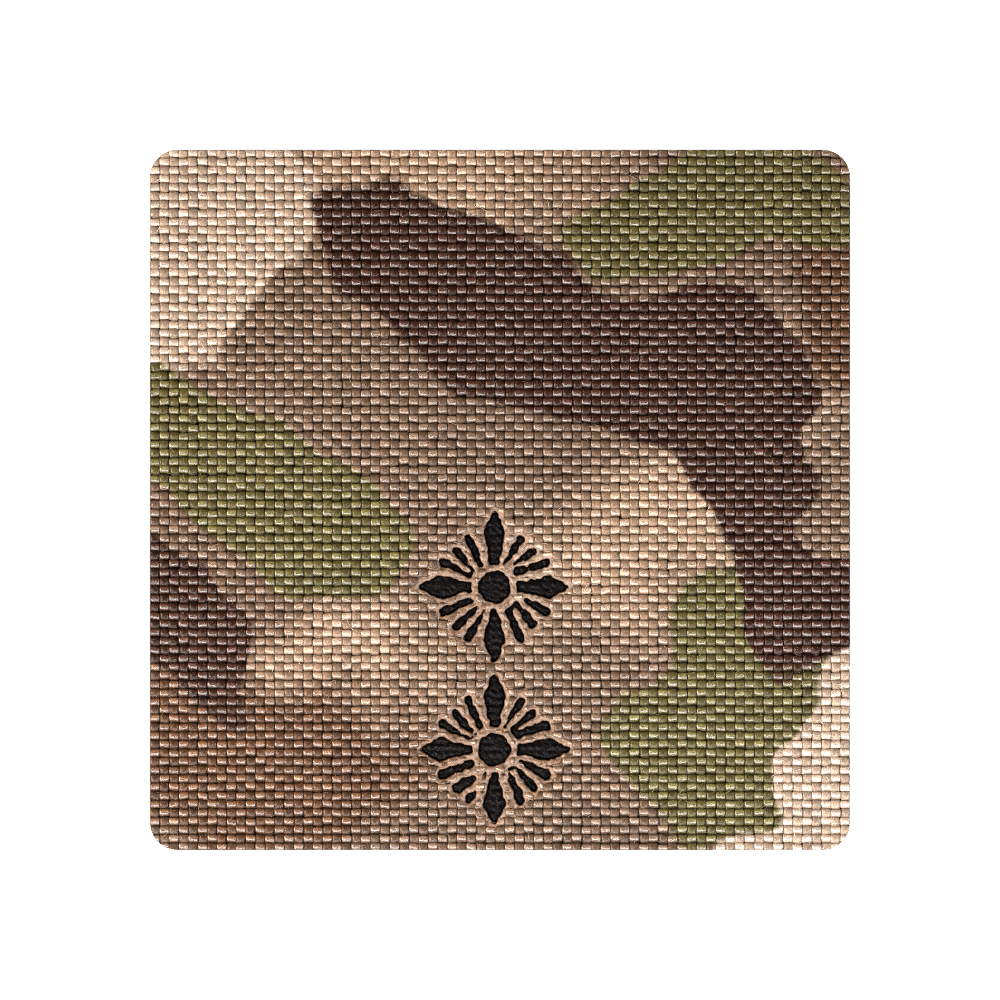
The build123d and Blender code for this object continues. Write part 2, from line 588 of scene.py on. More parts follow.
@dataclass
class StarCut:
    """The openings of one star and distances from them."""

    loops: list[np.ndarray]
    low: np.ndarray = field(init=False)
    high: np.ndarray = field(init=False)
    segments: tuple[tuple[np.ndarray, np.ndarray], ...] = field(init=False)
    outward: np.ndarray = field(init=False)
    tree: KDTree = field(init=False)

    def __post_init__(self) -> None:
        """Works out the rest from the loops."""
        every = np.vstack(self.loops)
        self.low = every.min(axis=0)
        self.high = every.max(axis=0)
        ahead = np.vstack([np.roll(loop, -1, axis=0) for loop in self.loops])
        behind = np.vstack([np.roll(loop, 1, axis=0) for loop in self.loops])
        self.segments = ((every, ahead - every), (behind, every - behind))
        self.outward = way_out(ahead - behind)
        self.tree = KDTree(len(every))
        for number, (x, y) in enumerate(every.tolist()):
            self.tree.insert((x, y, 0.0), number)
        self.tree.balance()

    def nearest(self, points: np.ndarray) -> tuple[np.ndarray, np.ndarray]:
        """Finds the nearest place on the openings' edges.

        Args:
            points: n by 2 points.

        Returns:
            Each point's distance from the nearest opening, negative inside one, and that nearest place.
        """
        if not len(points):
            return np.zeros(0), np.zeros((0, 2))
        flat = points[:, :2]
        index = np.array([self.tree.find((x, y, 0.0))[1] for x, y in flat.tolist()])
        gaps = np.full(len(flat), np.inf)
        places = np.empty((len(flat), 2))
        sides = np.empty(len(flat))
        for starts, runs in self.segments:
            start, run = starts[index], runs[index]
            share = ((flat - start) * run).sum(axis=1) / (run * run).sum(axis=1)
            near = start + np.clip(share, 0.0, 1.0)[:, None] * run
            gap = np.linalg.norm(flat - near, axis=1)
            within = (share > 0.0) & (share < 1.0)
            out = np.where(within[:, None], way_out(run), self.outward[index])
            better = gap < gaps
            gaps[better] = gap[better]
            places[better] = near[better]
            sides[better] = ((flat - near) * out).sum(axis=1)[better]
        return np.where(sides < 0.0, -gaps, gaps), places

    def grown(self, distance: float) -> list[np.ndarray]:
        """Returns the loops moved out by a distance, or into the openings where it is negative."""
        return [loop + distance * way_out(across_points(loop)) for loop in self.loops]

    def near(self, points: np.ndarray, margin: float) -> np.ndarray:
        """Returns a mask of the points within a margin of the star's box."""
        return ((points[:, :2] > self.low - margin) & (points[:, :2] < self.high + margin)).all(axis=1)

    def grid(self, margin: float, step: float, row_step: float, stagger: float) -> np.ndarray:
        """Lays a grid of points over the star.

        Args:
            margin: how far the grid reaches past the star's box.
            step: distance between points of a row.
            row_step: distance between rows.
            stagger: how far every other row is shifted.

        Returns:
            n by 2 points, row by row.
        """
        rows = np.arange(self.low[1] - margin, self.high[1] + margin, row_step)
        columns = np.arange(self.low[0] - margin, self.high[0] + margin, step)
        return np.array([(x + stagger * (k % 2), y) for k, y in enumerate(rows) for x in columns])


@dataclass
class Outline:
    """Closed loops of the printed cloth, read from its solid: the rim and the openings of the stars.

    Attributes:
        ragged: reach of the hot cut's small wavers.
        ragged_size: size of the largest of them.
        wavers: fineness, plane of the noise and share of each.
        burnt: how far the cut melts back everywhere.
        checked: how far it melts further back or less at each crossing of the yarns.
        checks: how sharply it changes between them.
    """

    node: str = "face_cloth"
    step: float = 0.07
    ragged: float = 0.10
    ragged_size: float = 0.40
    wavers: tuple[tuple[float, float, float], ...] = ((1.0, 3.0, 1.0), (2.6, 9.0, 0.35))
    burnt: float = 0.018
    checked: float = 0.04
    checks: float = 2.5
    seed: int = 12
    stars: list[StarCut] = field(init=False)
    half: float = field(init=False)
    corner: float = field(init=False)

    def __post_init__(self) -> None:
        """Reads the loops, roughens the openings as a hot cut leaves them and sorts them by star."""
        loops = sorted(self.read_loops(), key=lambda loop: -np.ptp(loop[:, 0]))
        rim = loops[0]
        self.half = float(rim[:, 0].max())
        straight = rim[np.abs(rim[:, 0] - self.half) < 0.001][:, 1]
        self.corner = self.half - float(np.abs(straight).max())
        openings = [self.roughen(self.resample(loop)) for loop in loops[1:]]
        heights = np.array([loop[:, 1].mean() for loop in openings])
        split = (heights.min() + heights.max()) / 2
        self.stars = [
            StarCut([loop for loop, height in zip(openings, heights) if (height > split) == upper])
            for upper in (True, False)
        ]

    def read_loops(self) -> list[np.ndarray]:
        """Finds the border loops of the solid's underside.

        Returns:
            Each loop's n by 2 points, anticlockwise.
        """
        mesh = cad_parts[self.node].data
        points = read_vectors(mesh.vertices, "co") / MM
        low = points[:, 2].min()
        numbers: dict[tuple, int] = {}
        number = [numbers.setdefault(tuple(p), len(numbers)) for p in np.round(points, 3).tolist()]
        place = np.array(list(numbers))
        directed = set()
        for triangle in mesh.polygons:
            corners = [number[v] for v in triangle.vertices]
            if max(place[c][2] for c in corners) < low + 0.01:
                directed.update(zip(corners, corners[1:] + corners[:1]))
        after = {a: b for a, b in directed if (b, a) not in directed}
        loops = []
        while after:
            start, current = after.popitem()
            loop = [start]
            while current != start:
                loop.append(current)
                current = after.pop(current)
            flat = place[loop][:, :2]
            ahead = np.roll(flat, -1, axis=0)
            turn = (flat[:, 0] * ahead[:, 1] - flat[:, 1] * ahead[:, 0]).sum()
            loops.append(flat if turn > 0 else flat[::-1])
        return loops

    def resample(self, loop: np.ndarray) -> np.ndarray:
        """Spreads a loop's points evenly.

        Args:
            loop: n by 2 points of a closed loop.

        Returns:
            The loop with points at about one step.
        """
        closed = np.vstack([loop, loop[:1]])
        length = np.concatenate([[0.0], np.cumsum(np.linalg.norm(np.diff(closed, axis=0), axis=1))])
        count = max(12, round(length[-1] / self.step))
        at = np.linspace(0.0, length[-1], count, endpoint=False)
        return np.column_stack([np.interp(at, length, closed[:, axis]) for axis in (0, 1)])

    def roughen(self, loop: np.ndarray) -> np.ndarray:
        """Gives a loop the small wavers of the hot cut.

        Args:
            loop: n by 2 points of a closed loop.

        Returns:
            The moved points.
        """
        noise.seed_set(self.seed)
        jolt = np.zeros_like(loop)
        for fineness, plane, share in self.wavers:
            spots = [Vector((*(fineness * p / self.ragged_size), plane)) for p in loop]
            jolt += share * np.array([noise.noise_vector(spot) for spot in spots])[:, :2]
        for _ in range(2):
            loop = (np.roll(loop, 1, axis=0) + 2.0 * loop + np.roll(loop, -1, axis=0)) / 4.0
        loop = loop + self.ragged * jolt
        check = np.cos(math.pi * loop[:, 0] / WARP_PITCH) * np.cos(math.pi * loop[:, 1] / WEFT_PITCH)
        melted = self.burnt + self.checked * np.tanh(self.checks * check)
        return loop + melted[:, None] * way_out(across_points(loop))

    def reach(self, across: float, inset: float) -> float:
        """Finds how far from the middle line a straight yarn runs before it meets the rim.

        Args:
            across: the yarn's distance from the middle line beside it.
            inset: how far inside the rim it ends.

        Returns:
            Half of the yarn's length.
        """
        half, radius = self.half - inset, self.corner
        beyond = max(0.0, abs(across) - (half - radius))
        return half - radius + math.sqrt(max(0.0, radius**2 - beyond**2))

    def gap_to_star(self, points: np.ndarray, margin: float) -> tuple[np.ndarray, np.ndarray]:
        """Finds distances from the nearest star's openings.

        Args:
            points: n by 2 or 3 points.
            margin: distance past which the openings don't matter.

        Returns:
            Distance, at most margin, and the nearest place on an opening's edge.
        """
        gaps = np.full(len(points), margin)
        places = points[:, :2].copy()
        for star in self.stars:
            mask = star.near(points, margin)
            gap, place = star.nearest(points[mask])
            gaps[mask] = np.minimum(gap, margin)
            places[mask] = place
        return gaps, places


# Finishes


def dye(code: str) -> tuple[float, float, float, float]:
    """Turns a colour of the screen into the shader's.

    Args:
        code: six hexadecimal digits of sRGB.

    Returns:
        Linear RGBA.
    """
    parts = [int(code[k : k + 2], 16) / 255 for k in (0, 2, 4)]
    linear = [p / 12.92 if p <= 0.04045 else ((p + 0.055) / 1.055) ** 2.4 for p in parts]
    return (*linear, 1.0)


class Dye(Enum):
    """Colours of the print and of the plain cloth."""

    KHAKI = dye("826e60")
    SAND = dye("cbc1bc")
    TAN = dye("8a7769")
    PALE = dye("bdab9e")
    GREEN = dye("727244")
    RUST = dye("6e5038")
    BROWN = dye("492a1c")
    CUT = dye("b58358")
    BLACK = dye("060506")
    TAPE = dye("1c1c1e")


@dataclass(frozen=True)
class Span:
    """A range of a value that a finish follows."""

    low: float
    high: float

    def follow(self, make: NodeMaker, value: Any, start: Any = 0.0, end: Any = 1.0) -> Any:
        """Returns a number that eases from start to end as the value crosses the range."""
        return make.ease(value, self.low, self.high, start, end)


NOISE = Span(0.3, 0.7)


@dataclass(frozen=True)
class Blot:
    """One blot of the print: a turned ellipse whose edge the print's waver moves."""

    x: float
    y: float
    length: float
    width: float
    turn: float


@dataclass(frozen=True)
class Tone:
    """One colour of the print: its dye, its edge's softness as a share of a blot's half width, its blots."""

    dye: Dye
    softness: float
    blots: tuple[Blot, ...]


@dataclass(frozen=True)
class CamouflagePrint:
    """Generic camouflage: soft clouds of khaki and tan, and large flowing blots over them.

    Attributes:
        merge: how softly the blots of one colour run together.
        wavers: size and reach of each noise that moves the blots' edges.
    """

    cloud: float = 15.0
    cloud_edge: Span = Span(0.36, 0.62)
    merge: float = 0.45
    far: float = 9.0
    wavers: tuple[tuple[float, float], ...] = ((14.0, 17.0), (5.5, 4.4), (0.55, 0.32))
    tones: tuple[Tone, ...] = (
        Tone(Dye.PALE, 0.60, (
            Blot(14.0, 0.5, 24.0, 12.0, 40.0),
            Blot(-6.0, 24.0, 24.0, 10.0, 0.0),
            Blot(-13.5, -11.5, 17.0, 9.0, 25.0),
        )),
        Tone(Dye.RUST, 0.22, (
            Blot(-19.0, -18.5, 25.0, 14.0, 20.0),
            Blot(24.0, 13.0, 14.0, 9.0, 80.0),
        )),
        Tone(Dye.SAND, 0.04, (
            Blot(-22.5, 18.0, 22.0, 13.0, 65.0),
            Blot(22.5, -21.5, 22.0, 12.0, 55.0),
        )),
        Tone(Dye.GREEN, 0.04, (
            Blot(-17.0, 1.5, 23.0, 12.0, -32.0),
            Blot(16.0, -14.5, 24.0, 12.5, 60.0),
            Blot(16.0, 21.5, 23.0, 11.0, 12.0),
        )),
        Tone(Dye.BROWN, 0.04, (
            Blot(-2.0, 14.5, 31.0, 12.5, -26.0),
            Blot(16.0, 5.5, 20.0, 10.5, -48.0),
            Blot(23.0, -6.0, 13.0, 6.0, -80.0),
            Blot(-24.5, -9.0, 15.0, 7.0, -48.0),
        )),
    )

    def group(self) -> bpy.types.NodeTree:
        """Builds the shader group: a vector in millimetres in, the print's colour out.

        Returns:
            The group.
        """
        sockets = [("Vector", "IN", "Vector"), ("Color", "OUT", "Color")]
        group, given, result, make = new_group("camouflage_print", "ShaderNodeTree", sockets)
        flat = make.vector("MULTIPLY", given["Vector"], (1.0, 1.0, 0.0))
        waver = flat
        for size, reach in self.wavers:
            shift = make.vector("MULTIPLY", make.drift(flat, size), (reach, reach, 0.0))
            waver = make.vector("ADD", waver, shift)
        cloud = self.cloud_edge.follow(make, make.grain(flat, self.cloud)["Fac"])
        colour = make.blend(cloud, Dye.KHAKI.value, Dye.TAN.value)
        for tone in self.tones:
            nearest = self.far
            for blot in tone.blots:
                place = make.add("ShaderNodeMapping", {
                    "Vector": waver,
                    "Location": (blot.x, blot.y, 0.0),
                    "Rotation": (0.0, 0.0, math.radians(blot.turn)),
                    "Scale": (blot.length / 2, blot.width / 2, 1.0),
                }, vector_type="TEXTURE").outputs[0]
                nearest = make.math("SMOOTH_MIN", make.vector("LENGTH", place), nearest, self.merge)
            inside = make.ease(nearest, 1.0 - tone.softness, 1.0 + tone.softness, 1.0, 0.0)
            colour = make.blend(inside, colour, tone.dye.value)
        make.put(result["Color"], colour)
        return group


@dataclass(frozen=True)
class YarnFilaments:
    """Crimped filaments along a yarn, as height, shade and roughness; the shade is streak texture and partly
    painted shade, darker where the streaks lie low.

    Attributes:
        crimp: reach of the filaments' crimp.
    """

    across: float = 0.085
    along: float = 0.50
    crimp: float = 0.48
    crimp_size: float = 0.28
    clump: float = 0.16
    clump_rise: float = 0.3
    streak_span: Span = Span(0.25, 0.75)
    shades: tuple[float, float] = (0.68, 1.24)
    roughness: tuple[float, float] = (0.26, 0.42)

    def group(self) -> bpy.types.NodeTree:
        """Builds the shader group. Along is a unit vector down the yarn, and the unit is the millimetre.

        Returns:
            The group.
        """
        sockets = [("Vector", "IN", "Vector"), ("Along", "IN", "Vector")]
        sockets += [(name, "OUT", "Float") for name in ("Height", "Shade", "Roughness")]
        group, given, result, make = new_group("yarn_filaments", "ShaderNodeTree", sockets)
        crimp = make.vector("MULTIPLY", make.drift(given["Vector"], self.crimp_size), (self.crimp,) * 3)
        moved = make.vector("ADD", given["Vector"], crimp)
        slack = make.vector("MULTIPLY", given["Along"], (1.0 - self.across / self.along,) * 3)
        squeeze = make.vector("SUBTRACT", (1.0, 1.0, 1.0), slack)
        streaks = make.grain(make.vector("MULTIPLY", moved, squeeze), self.across)["Fac"]
        clumps = make.grain(given["Vector"], self.clump, 2.0)["Fac"]
        height = make.math("ADD", NOISE.follow(make, streaks), make.product(clumps, self.clump_rise))
        make.put(result["Height"], height)
        # partly painted shade: the shade follows the streaks' height, darker in the low streaks between the
        # filaments
        make.put(result["Shade"], self.streak_span.follow(make, streaks, *self.shades))
        make.put(result["Roughness"], NOISE.follow(make, clumps, *self.roughness))
        return group


@dataclass(frozen=True)
class ClothDust:
    """Fine pale specks of lint, as a mask.

    Attributes:
        specks: range of the specks' noise in which lint begins.
        least: share of the lint that is left where there is least.
    """

    speck: float = 0.09
    specks: Span = Span(0.66, 0.76)
    patch: float = 2.5
    patches: Span = Span(0.4, 0.7)
    least: float = 0.3

    def group(self) -> bpy.types.NodeTree:
        """Builds the shader group: a vector in millimetres and an amount in, a mask out.

        Returns:
            The group.
        """
        sockets = [("Vector", "IN", "Vector"), ("Amount", "IN", "Float"), ("Mask", "OUT", "Float")]
        group, given, result, make = new_group("cloth_dust", "ShaderNodeTree", sockets)
        specks = self.specks.follow(make, make.grain(given["Vector"], self.speck)["Fac"])
        where = self.patches.follow(make, make.grain(given["Vector"], self.patch)["Fac"], self.least)
        make.put(result["Mask"], make.product(specks, where, given["Amount"]))
        return group


@dataclass
class Wardrobe:
    """The shared shader groups, and what every material starts from."""

    print_group: bpy.types.NodeTree = field(init=False)
    filament_group: bpy.types.NodeTree = field(init=False)
    dust_group: bpy.types.NodeTree = field(init=False)

    def __post_init__(self) -> None:
        """Builds each group once."""
        self.print_group = CamouflagePrint().group()
        self.filament_group = YarnFilaments().group()
        self.dust_group = ClothDust().group()

    def start(self, name: str) -> tuple[bpy.types.Material, NodeMaker, bpy.types.Node, Any]:
        """Starts a material.

        Args:
            name: the material's name.

        Returns:
            The material, its maker, its Principled shader and the object coordinates in millimetres.
        """
        material = bpy.data.materials.new(name)
        material.use_nodes = True
        material.node_tree.nodes.clear()
        make = NodeMaker(material.node_tree)
        shader = make.add("ShaderNodeBsdfPrincipled")
        make.add("ShaderNodeOutputMaterial", {"Surface": shader.outputs[0]})
        coords = make.add("ShaderNodeTexCoord").outputs["Object"]
        place = make.vector("MULTIPLY", coords, (1 / MM,) * 3)
        return material, make, shader, place

    def use(self, make: NodeMaker, group: bpy.types.NodeTree, **inputs: Any) -> bpy.types.NodeOutputs:
        """Places a shared group in a material.

        Args:
            make: the material's maker.
            group: the shared group.
            inputs: the group's inputs by name.

        Returns:
            The group's outputs.
        """
        node = make.add("ShaderNodeGroup", node_tree=group)
        for name, value in inputs.items():
            make.put(node.inputs[name], value)
        return node.outputs

    def relief(self, make: NodeMaker, shader: Any, height: Any, depth: float) -> None:
        """Feeds a height into the shader's normal, depth in millimetres."""
        bump = make.add("ShaderNodeBump", {"Height": height, "Distance": depth * MM, "Strength": 1.0})
        make.put(shader.inputs["Normal"], bump.outputs[0])


@dataclass(frozen=True)
class PrintedYarn:
    """Printed nylon yarn: the print, filament streaks, a slightly different tint in each yarn and painted
    shade on its sides and where it goes under.

    Around a yarn the painted shade is read from 0 on one side over the top at 0.25 to 0.5 on the other side.
    Down the yarn, the dive is 0 at its crowns and 1 where it goes under.

    Attributes:
        tone: share of each primary colour that it keeps.
        foot: painted shade of its first side.
        back: painted shade of its other side.
        sunk: painted shade where it goes under.
        metal: how metallic it looks, for the dyed gleam of its crowns.
        on_dark: level on a dark part of the print.
        on_light: level on a light part of the print.
        sunk_span: dive in which the painted shade darkens it.
        matt_span: dive in which it gets matt.
        deep_span: lightness of the print from which its painted shades get weaker.
        deep: the least weight of the painted shades.
        tint: how far the crowns differ in shade.
        band: how far the yarns differ in shade.
    """

    thread: Thread
    tone: tuple[float, float, float]
    foot: float
    back: float
    sunk: float
    gloss: float
    metal: float
    on_dark: float
    on_light: float
    foot_span: Span = Span(0.08, 0.20)
    back_span: Span = Span(0.17, 0.30)
    sunk_span: Span = Span(0.60, 1.04)
    matt_span: Span = Span(0.60, 1.0)
    matt: float = 0.12
    deep_span: Span = Span(0.15, 0.6)
    deep: float = 0.3
    level_span: Span = Span(0.0, 0.6)
    ior: float = 1.8
    relief: float = 0.008
    tint: float = 0.34
    band: float = 0.22
    dust: float = 0.35

    def build(self, wardrobe: Wardrobe) -> bpy.types.Material:
        """Builds the material.

        Args:
            wardrobe: the shared groups.

        Returns:
            The material.
        """
        material, make, shader, place = wardrobe.start("printed_" + self.thread.name.lower())
        down = (0.0, 1.0, 0.0) if self.thread is Thread.WARP else (1.0, 0.0, 0.0)
        print_colour = wardrobe.use(make, wardrobe.print_group, Vector=place)["Color"]
        strands = wardrobe.use(make, wardrobe.filament_group, Vector=place, Along=down)
        dust = wardrobe.use(make, wardrobe.dust_group, Vector=place, Amount=self.dust)["Mask"]
        dive = make.attribute("dive")
        # painted shade: the yarn's sides and the stretches where it goes under are darkened in its colour,
        # and the filament shade darkens the low streaks
        depth = self.depth(make, print_colour, dive)
        shade = make.product(make.product(self.tints(make), strands["Shade"]), depth)
        colour = make.shaded(make.vector("MULTIPLY", print_colour, self.tone), shade)
        make.put(shader.inputs["Base Color"], make.blend(dust, colour, Dye.SAND.value))
        matt = self.matt_span.follow(make, dive, 0.0, self.matt)
        make.put(shader.inputs["Roughness"], make.math("ADD", strands["Roughness"], matt))
        shader.inputs["Specular IOR Level"].default_value = self.gloss
        shader.inputs["IOR"].default_value = self.ior
        shader.inputs["Metallic"].default_value = self.metal
        wardrobe.relief(make, shader, strands["Height"], self.relief)
        return material

    def tints(self, make: NodeMaker) -> Any:
        """Works out a shade that differs from crown to crown and from yarn to yarn.

        Args:
            make: the material's maker.

        Returns:
            The shade.
        """
        yarn = make.attribute("yarn")
        crown = make.join(yarn, make.math("ROUND", make.attribute("crossing")))
        tint = 1.0
        for place, share in ((crown, self.tint), (make.join(yarn, 0.5), self.band)):
            chance = make.add("ShaderNodeTexWhiteNoise", {"Vector": place}, noise_dimensions="2D")
            spread = make.product(chance.outputs["Value"], share)
            tint = make.product(tint, make.math("ADD", spread, 1.0 - share / 2))
        return tint

    def depth(self, make: NodeMaker, print_colour: Any, dive: Any) -> Any:
        """Works out the painted shade of the yarn's sides and hollows, weaker where the print is light.

        Args:
            make: the material's maker.
            print_colour: the print's colour.
            dive: how far the yarn goes under.

        Returns:
            The painted shade, times the level that the print's lightness sets.
        """
        around = make.attribute("around")
        foot = self.foot_span.follow(make, around, self.foot, 1.0)
        back = self.back_span.follow(make, around, 1.0, self.back)
        sunk = self.sunk_span.follow(make, dive, 1.0, self.sunk)
        painted_darkening = make.math("SUBTRACT", 1.0, make.product(foot, back, sunk))
        lightness = make.add("ShaderNodeRGBToBW", {"Color": print_colour}).outputs[0]
        weight = self.deep_span.follow(make, lightness, 1.0, self.deep)
        shown = make.math("SUBTRACT", 1.0, make.product(painted_darkening, weight))
        return make.product(shown, self.level_span.follow(make, lightness, self.on_dark, self.on_light))


@dataclass(frozen=True)
class MeltedNylon:
    """Printed nylon melted smooth at the cut: glossier, warmer in colour and lumpy.

    Attributes:
        brink: how far from the opening the dark brink reaches.
    """

    lump: float = 0.34
    fine: float = 0.12
    fine_rise: float = 0.10
    warmth: float = 0.40
    brink: float = 0.08
    brink_shade: float = 0.14
    open_shade: float = 0.33
    shades: tuple[float, float] = (0.70, 1.30)
    roughness: tuple[float, float] = (0.42, 0.60)
    relief: float = 0.018

    def build(self, wardrobe: Wardrobe) -> bpy.types.Material:
        """Builds the material.

        Args:
            wardrobe: the shared groups.

        Returns:
            The material.
        """
        material, make, shader, place = wardrobe.start("melted_print")
        print_colour = wardrobe.use(make, wardrobe.print_group, Vector=place)["Color"]
        lump = make.grain(place, self.lump)["Fac"]
        fine = make.grain(place, self.fine, 0.0)["Fac"]
        warm = make.blend(self.warmth, print_colour, Dye.CUT.value)
        rim = make.ease(make.attribute("gap"), 0.0, self.brink, self.brink_shade, self.open_shade)
        shade = make.product(rim, NOISE.follow(make, lump, *self.shades))
        make.put(shader.inputs["Base Color"], make.shaded(warm, shade))
        make.put(shader.inputs["Roughness"], NOISE.follow(make, fine, *self.roughness))
        height = make.math("ADD", lump, make.product(fine, self.fine_rise))
        wardrobe.relief(make, shader, height, self.relief)
        return material


@dataclass(frozen=True)
class BackedCloth:
    """Coated inside of the printed cloth, its sealed rim and its loose filaments: a dull, darker print; on
    the core the darkness is painted shade for the gaps between the yarns.

    Attributes:
        share: share of the print's colour that is left.
        shades: shade of its hollows and lumps, as shares of that.
        rougher: how much rougher its lumps are than its hollows.
    """

    name: str
    share: float
    roughness: float
    shades: tuple[float, float] = (0.9, 1.8)
    rougher: float = 0.2
    lump: float = 0.25
    relief: float = 0.05

    def build(self, wardrobe: Wardrobe) -> bpy.types.Material:
        """Builds the material.

        Args:
            wardrobe: the shared groups.

        Returns:
            The material.
        """
        material, make, shader, place = wardrobe.start(self.name)
        print_colour = wardrobe.use(make, wardrobe.print_group, Vector=place)["Color"]
        lump = make.grain(place, self.lump, 2.0)["Fac"]
        shade = NOISE.follow(make, lump, *(self.share * shade for shade in self.shades))
        make.put(shader.inputs["Base Color"], make.shaded(print_colour, shade))
        rough = NOISE.follow(make, lump, self.roughness, self.roughness + self.rougher)
        make.put(shader.inputs["Roughness"], rough)
        wardrobe.relief(make, shader, lump, self.relief)
        return material


@dataclass(frozen=True)
class BlackNylon:
    """Black nylon cloth or tape: fine filament streaks, a little lint and a soft gloss on its slopes."""

    name: str
    tone: Dye
    rougher: float
    dust: float
    relief: float
    matt: float = 0.0
    gloss: float = 0.04
    lump: float = 0.15
    streak_rise: float = 0.04

    def build(self, wardrobe: Wardrobe) -> bpy.types.Material:
        """Builds the material.

        Args:
            wardrobe: the shared groups.

        Returns:
            The material.
        """
        material, make, shader, place = wardrobe.start(self.name)
        strands = wardrobe.use(make, wardrobe.filament_group, Vector=place, Along=(1.0, 0.0, 0.0))
        dust = wardrobe.use(make, wardrobe.dust_group, Vector=place, Amount=self.dust)["Mask"]
        # the filament shade darkens the low streaks: partly painted shade
        colour = make.shaded(self.tone.value, strands["Shade"])
        make.put(shader.inputs["Base Color"], make.blend(dust, colour, Dye.KHAKI.value))
        dull = make.product(make.math("SUBTRACT", 1.0, make.attribute("steep")), self.matt)
        rough = make.math("ADD", strands["Roughness"], self.rougher)
        make.put(shader.inputs["Roughness"], make.math("ADD", rough, dull))
        shader.inputs["Specular IOR Level"].default_value = self.gloss
        lump = make.grain(place, self.lump, 2.0)["Fac"]
        height = make.math("ADD", lump, make.product(strands["Height"], self.streak_rise))
        wardrobe.relief(make, shader, height, self.relief)
        return material


# Printed face


@dataclass(frozen=True)
class YarnSet:
    """Sizes of one set of yarns, which lie side by side at one pitch about the middle.

    Attributes:
        droop: how much further it falls than a plain wave.
        flatness: how flat its crowns are.
        squareness: how boxy its section is, from 1 for an ellipse down.
        lean: how far its section leans to one side.
        phases: places of the points about each crown, in crossings.
    """

    thread: Thread
    count: int
    pitch: float
    width: float
    thickness: float
    crimp: float
    droop: float
    flatness: float
    squareness: float
    lean: float
    seed: float
    phases: tuple[float, ...]

    @property
    def first(self) -> float:
        """Place of the first yarn."""
        return -self.pitch * (self.count - 1) / 2


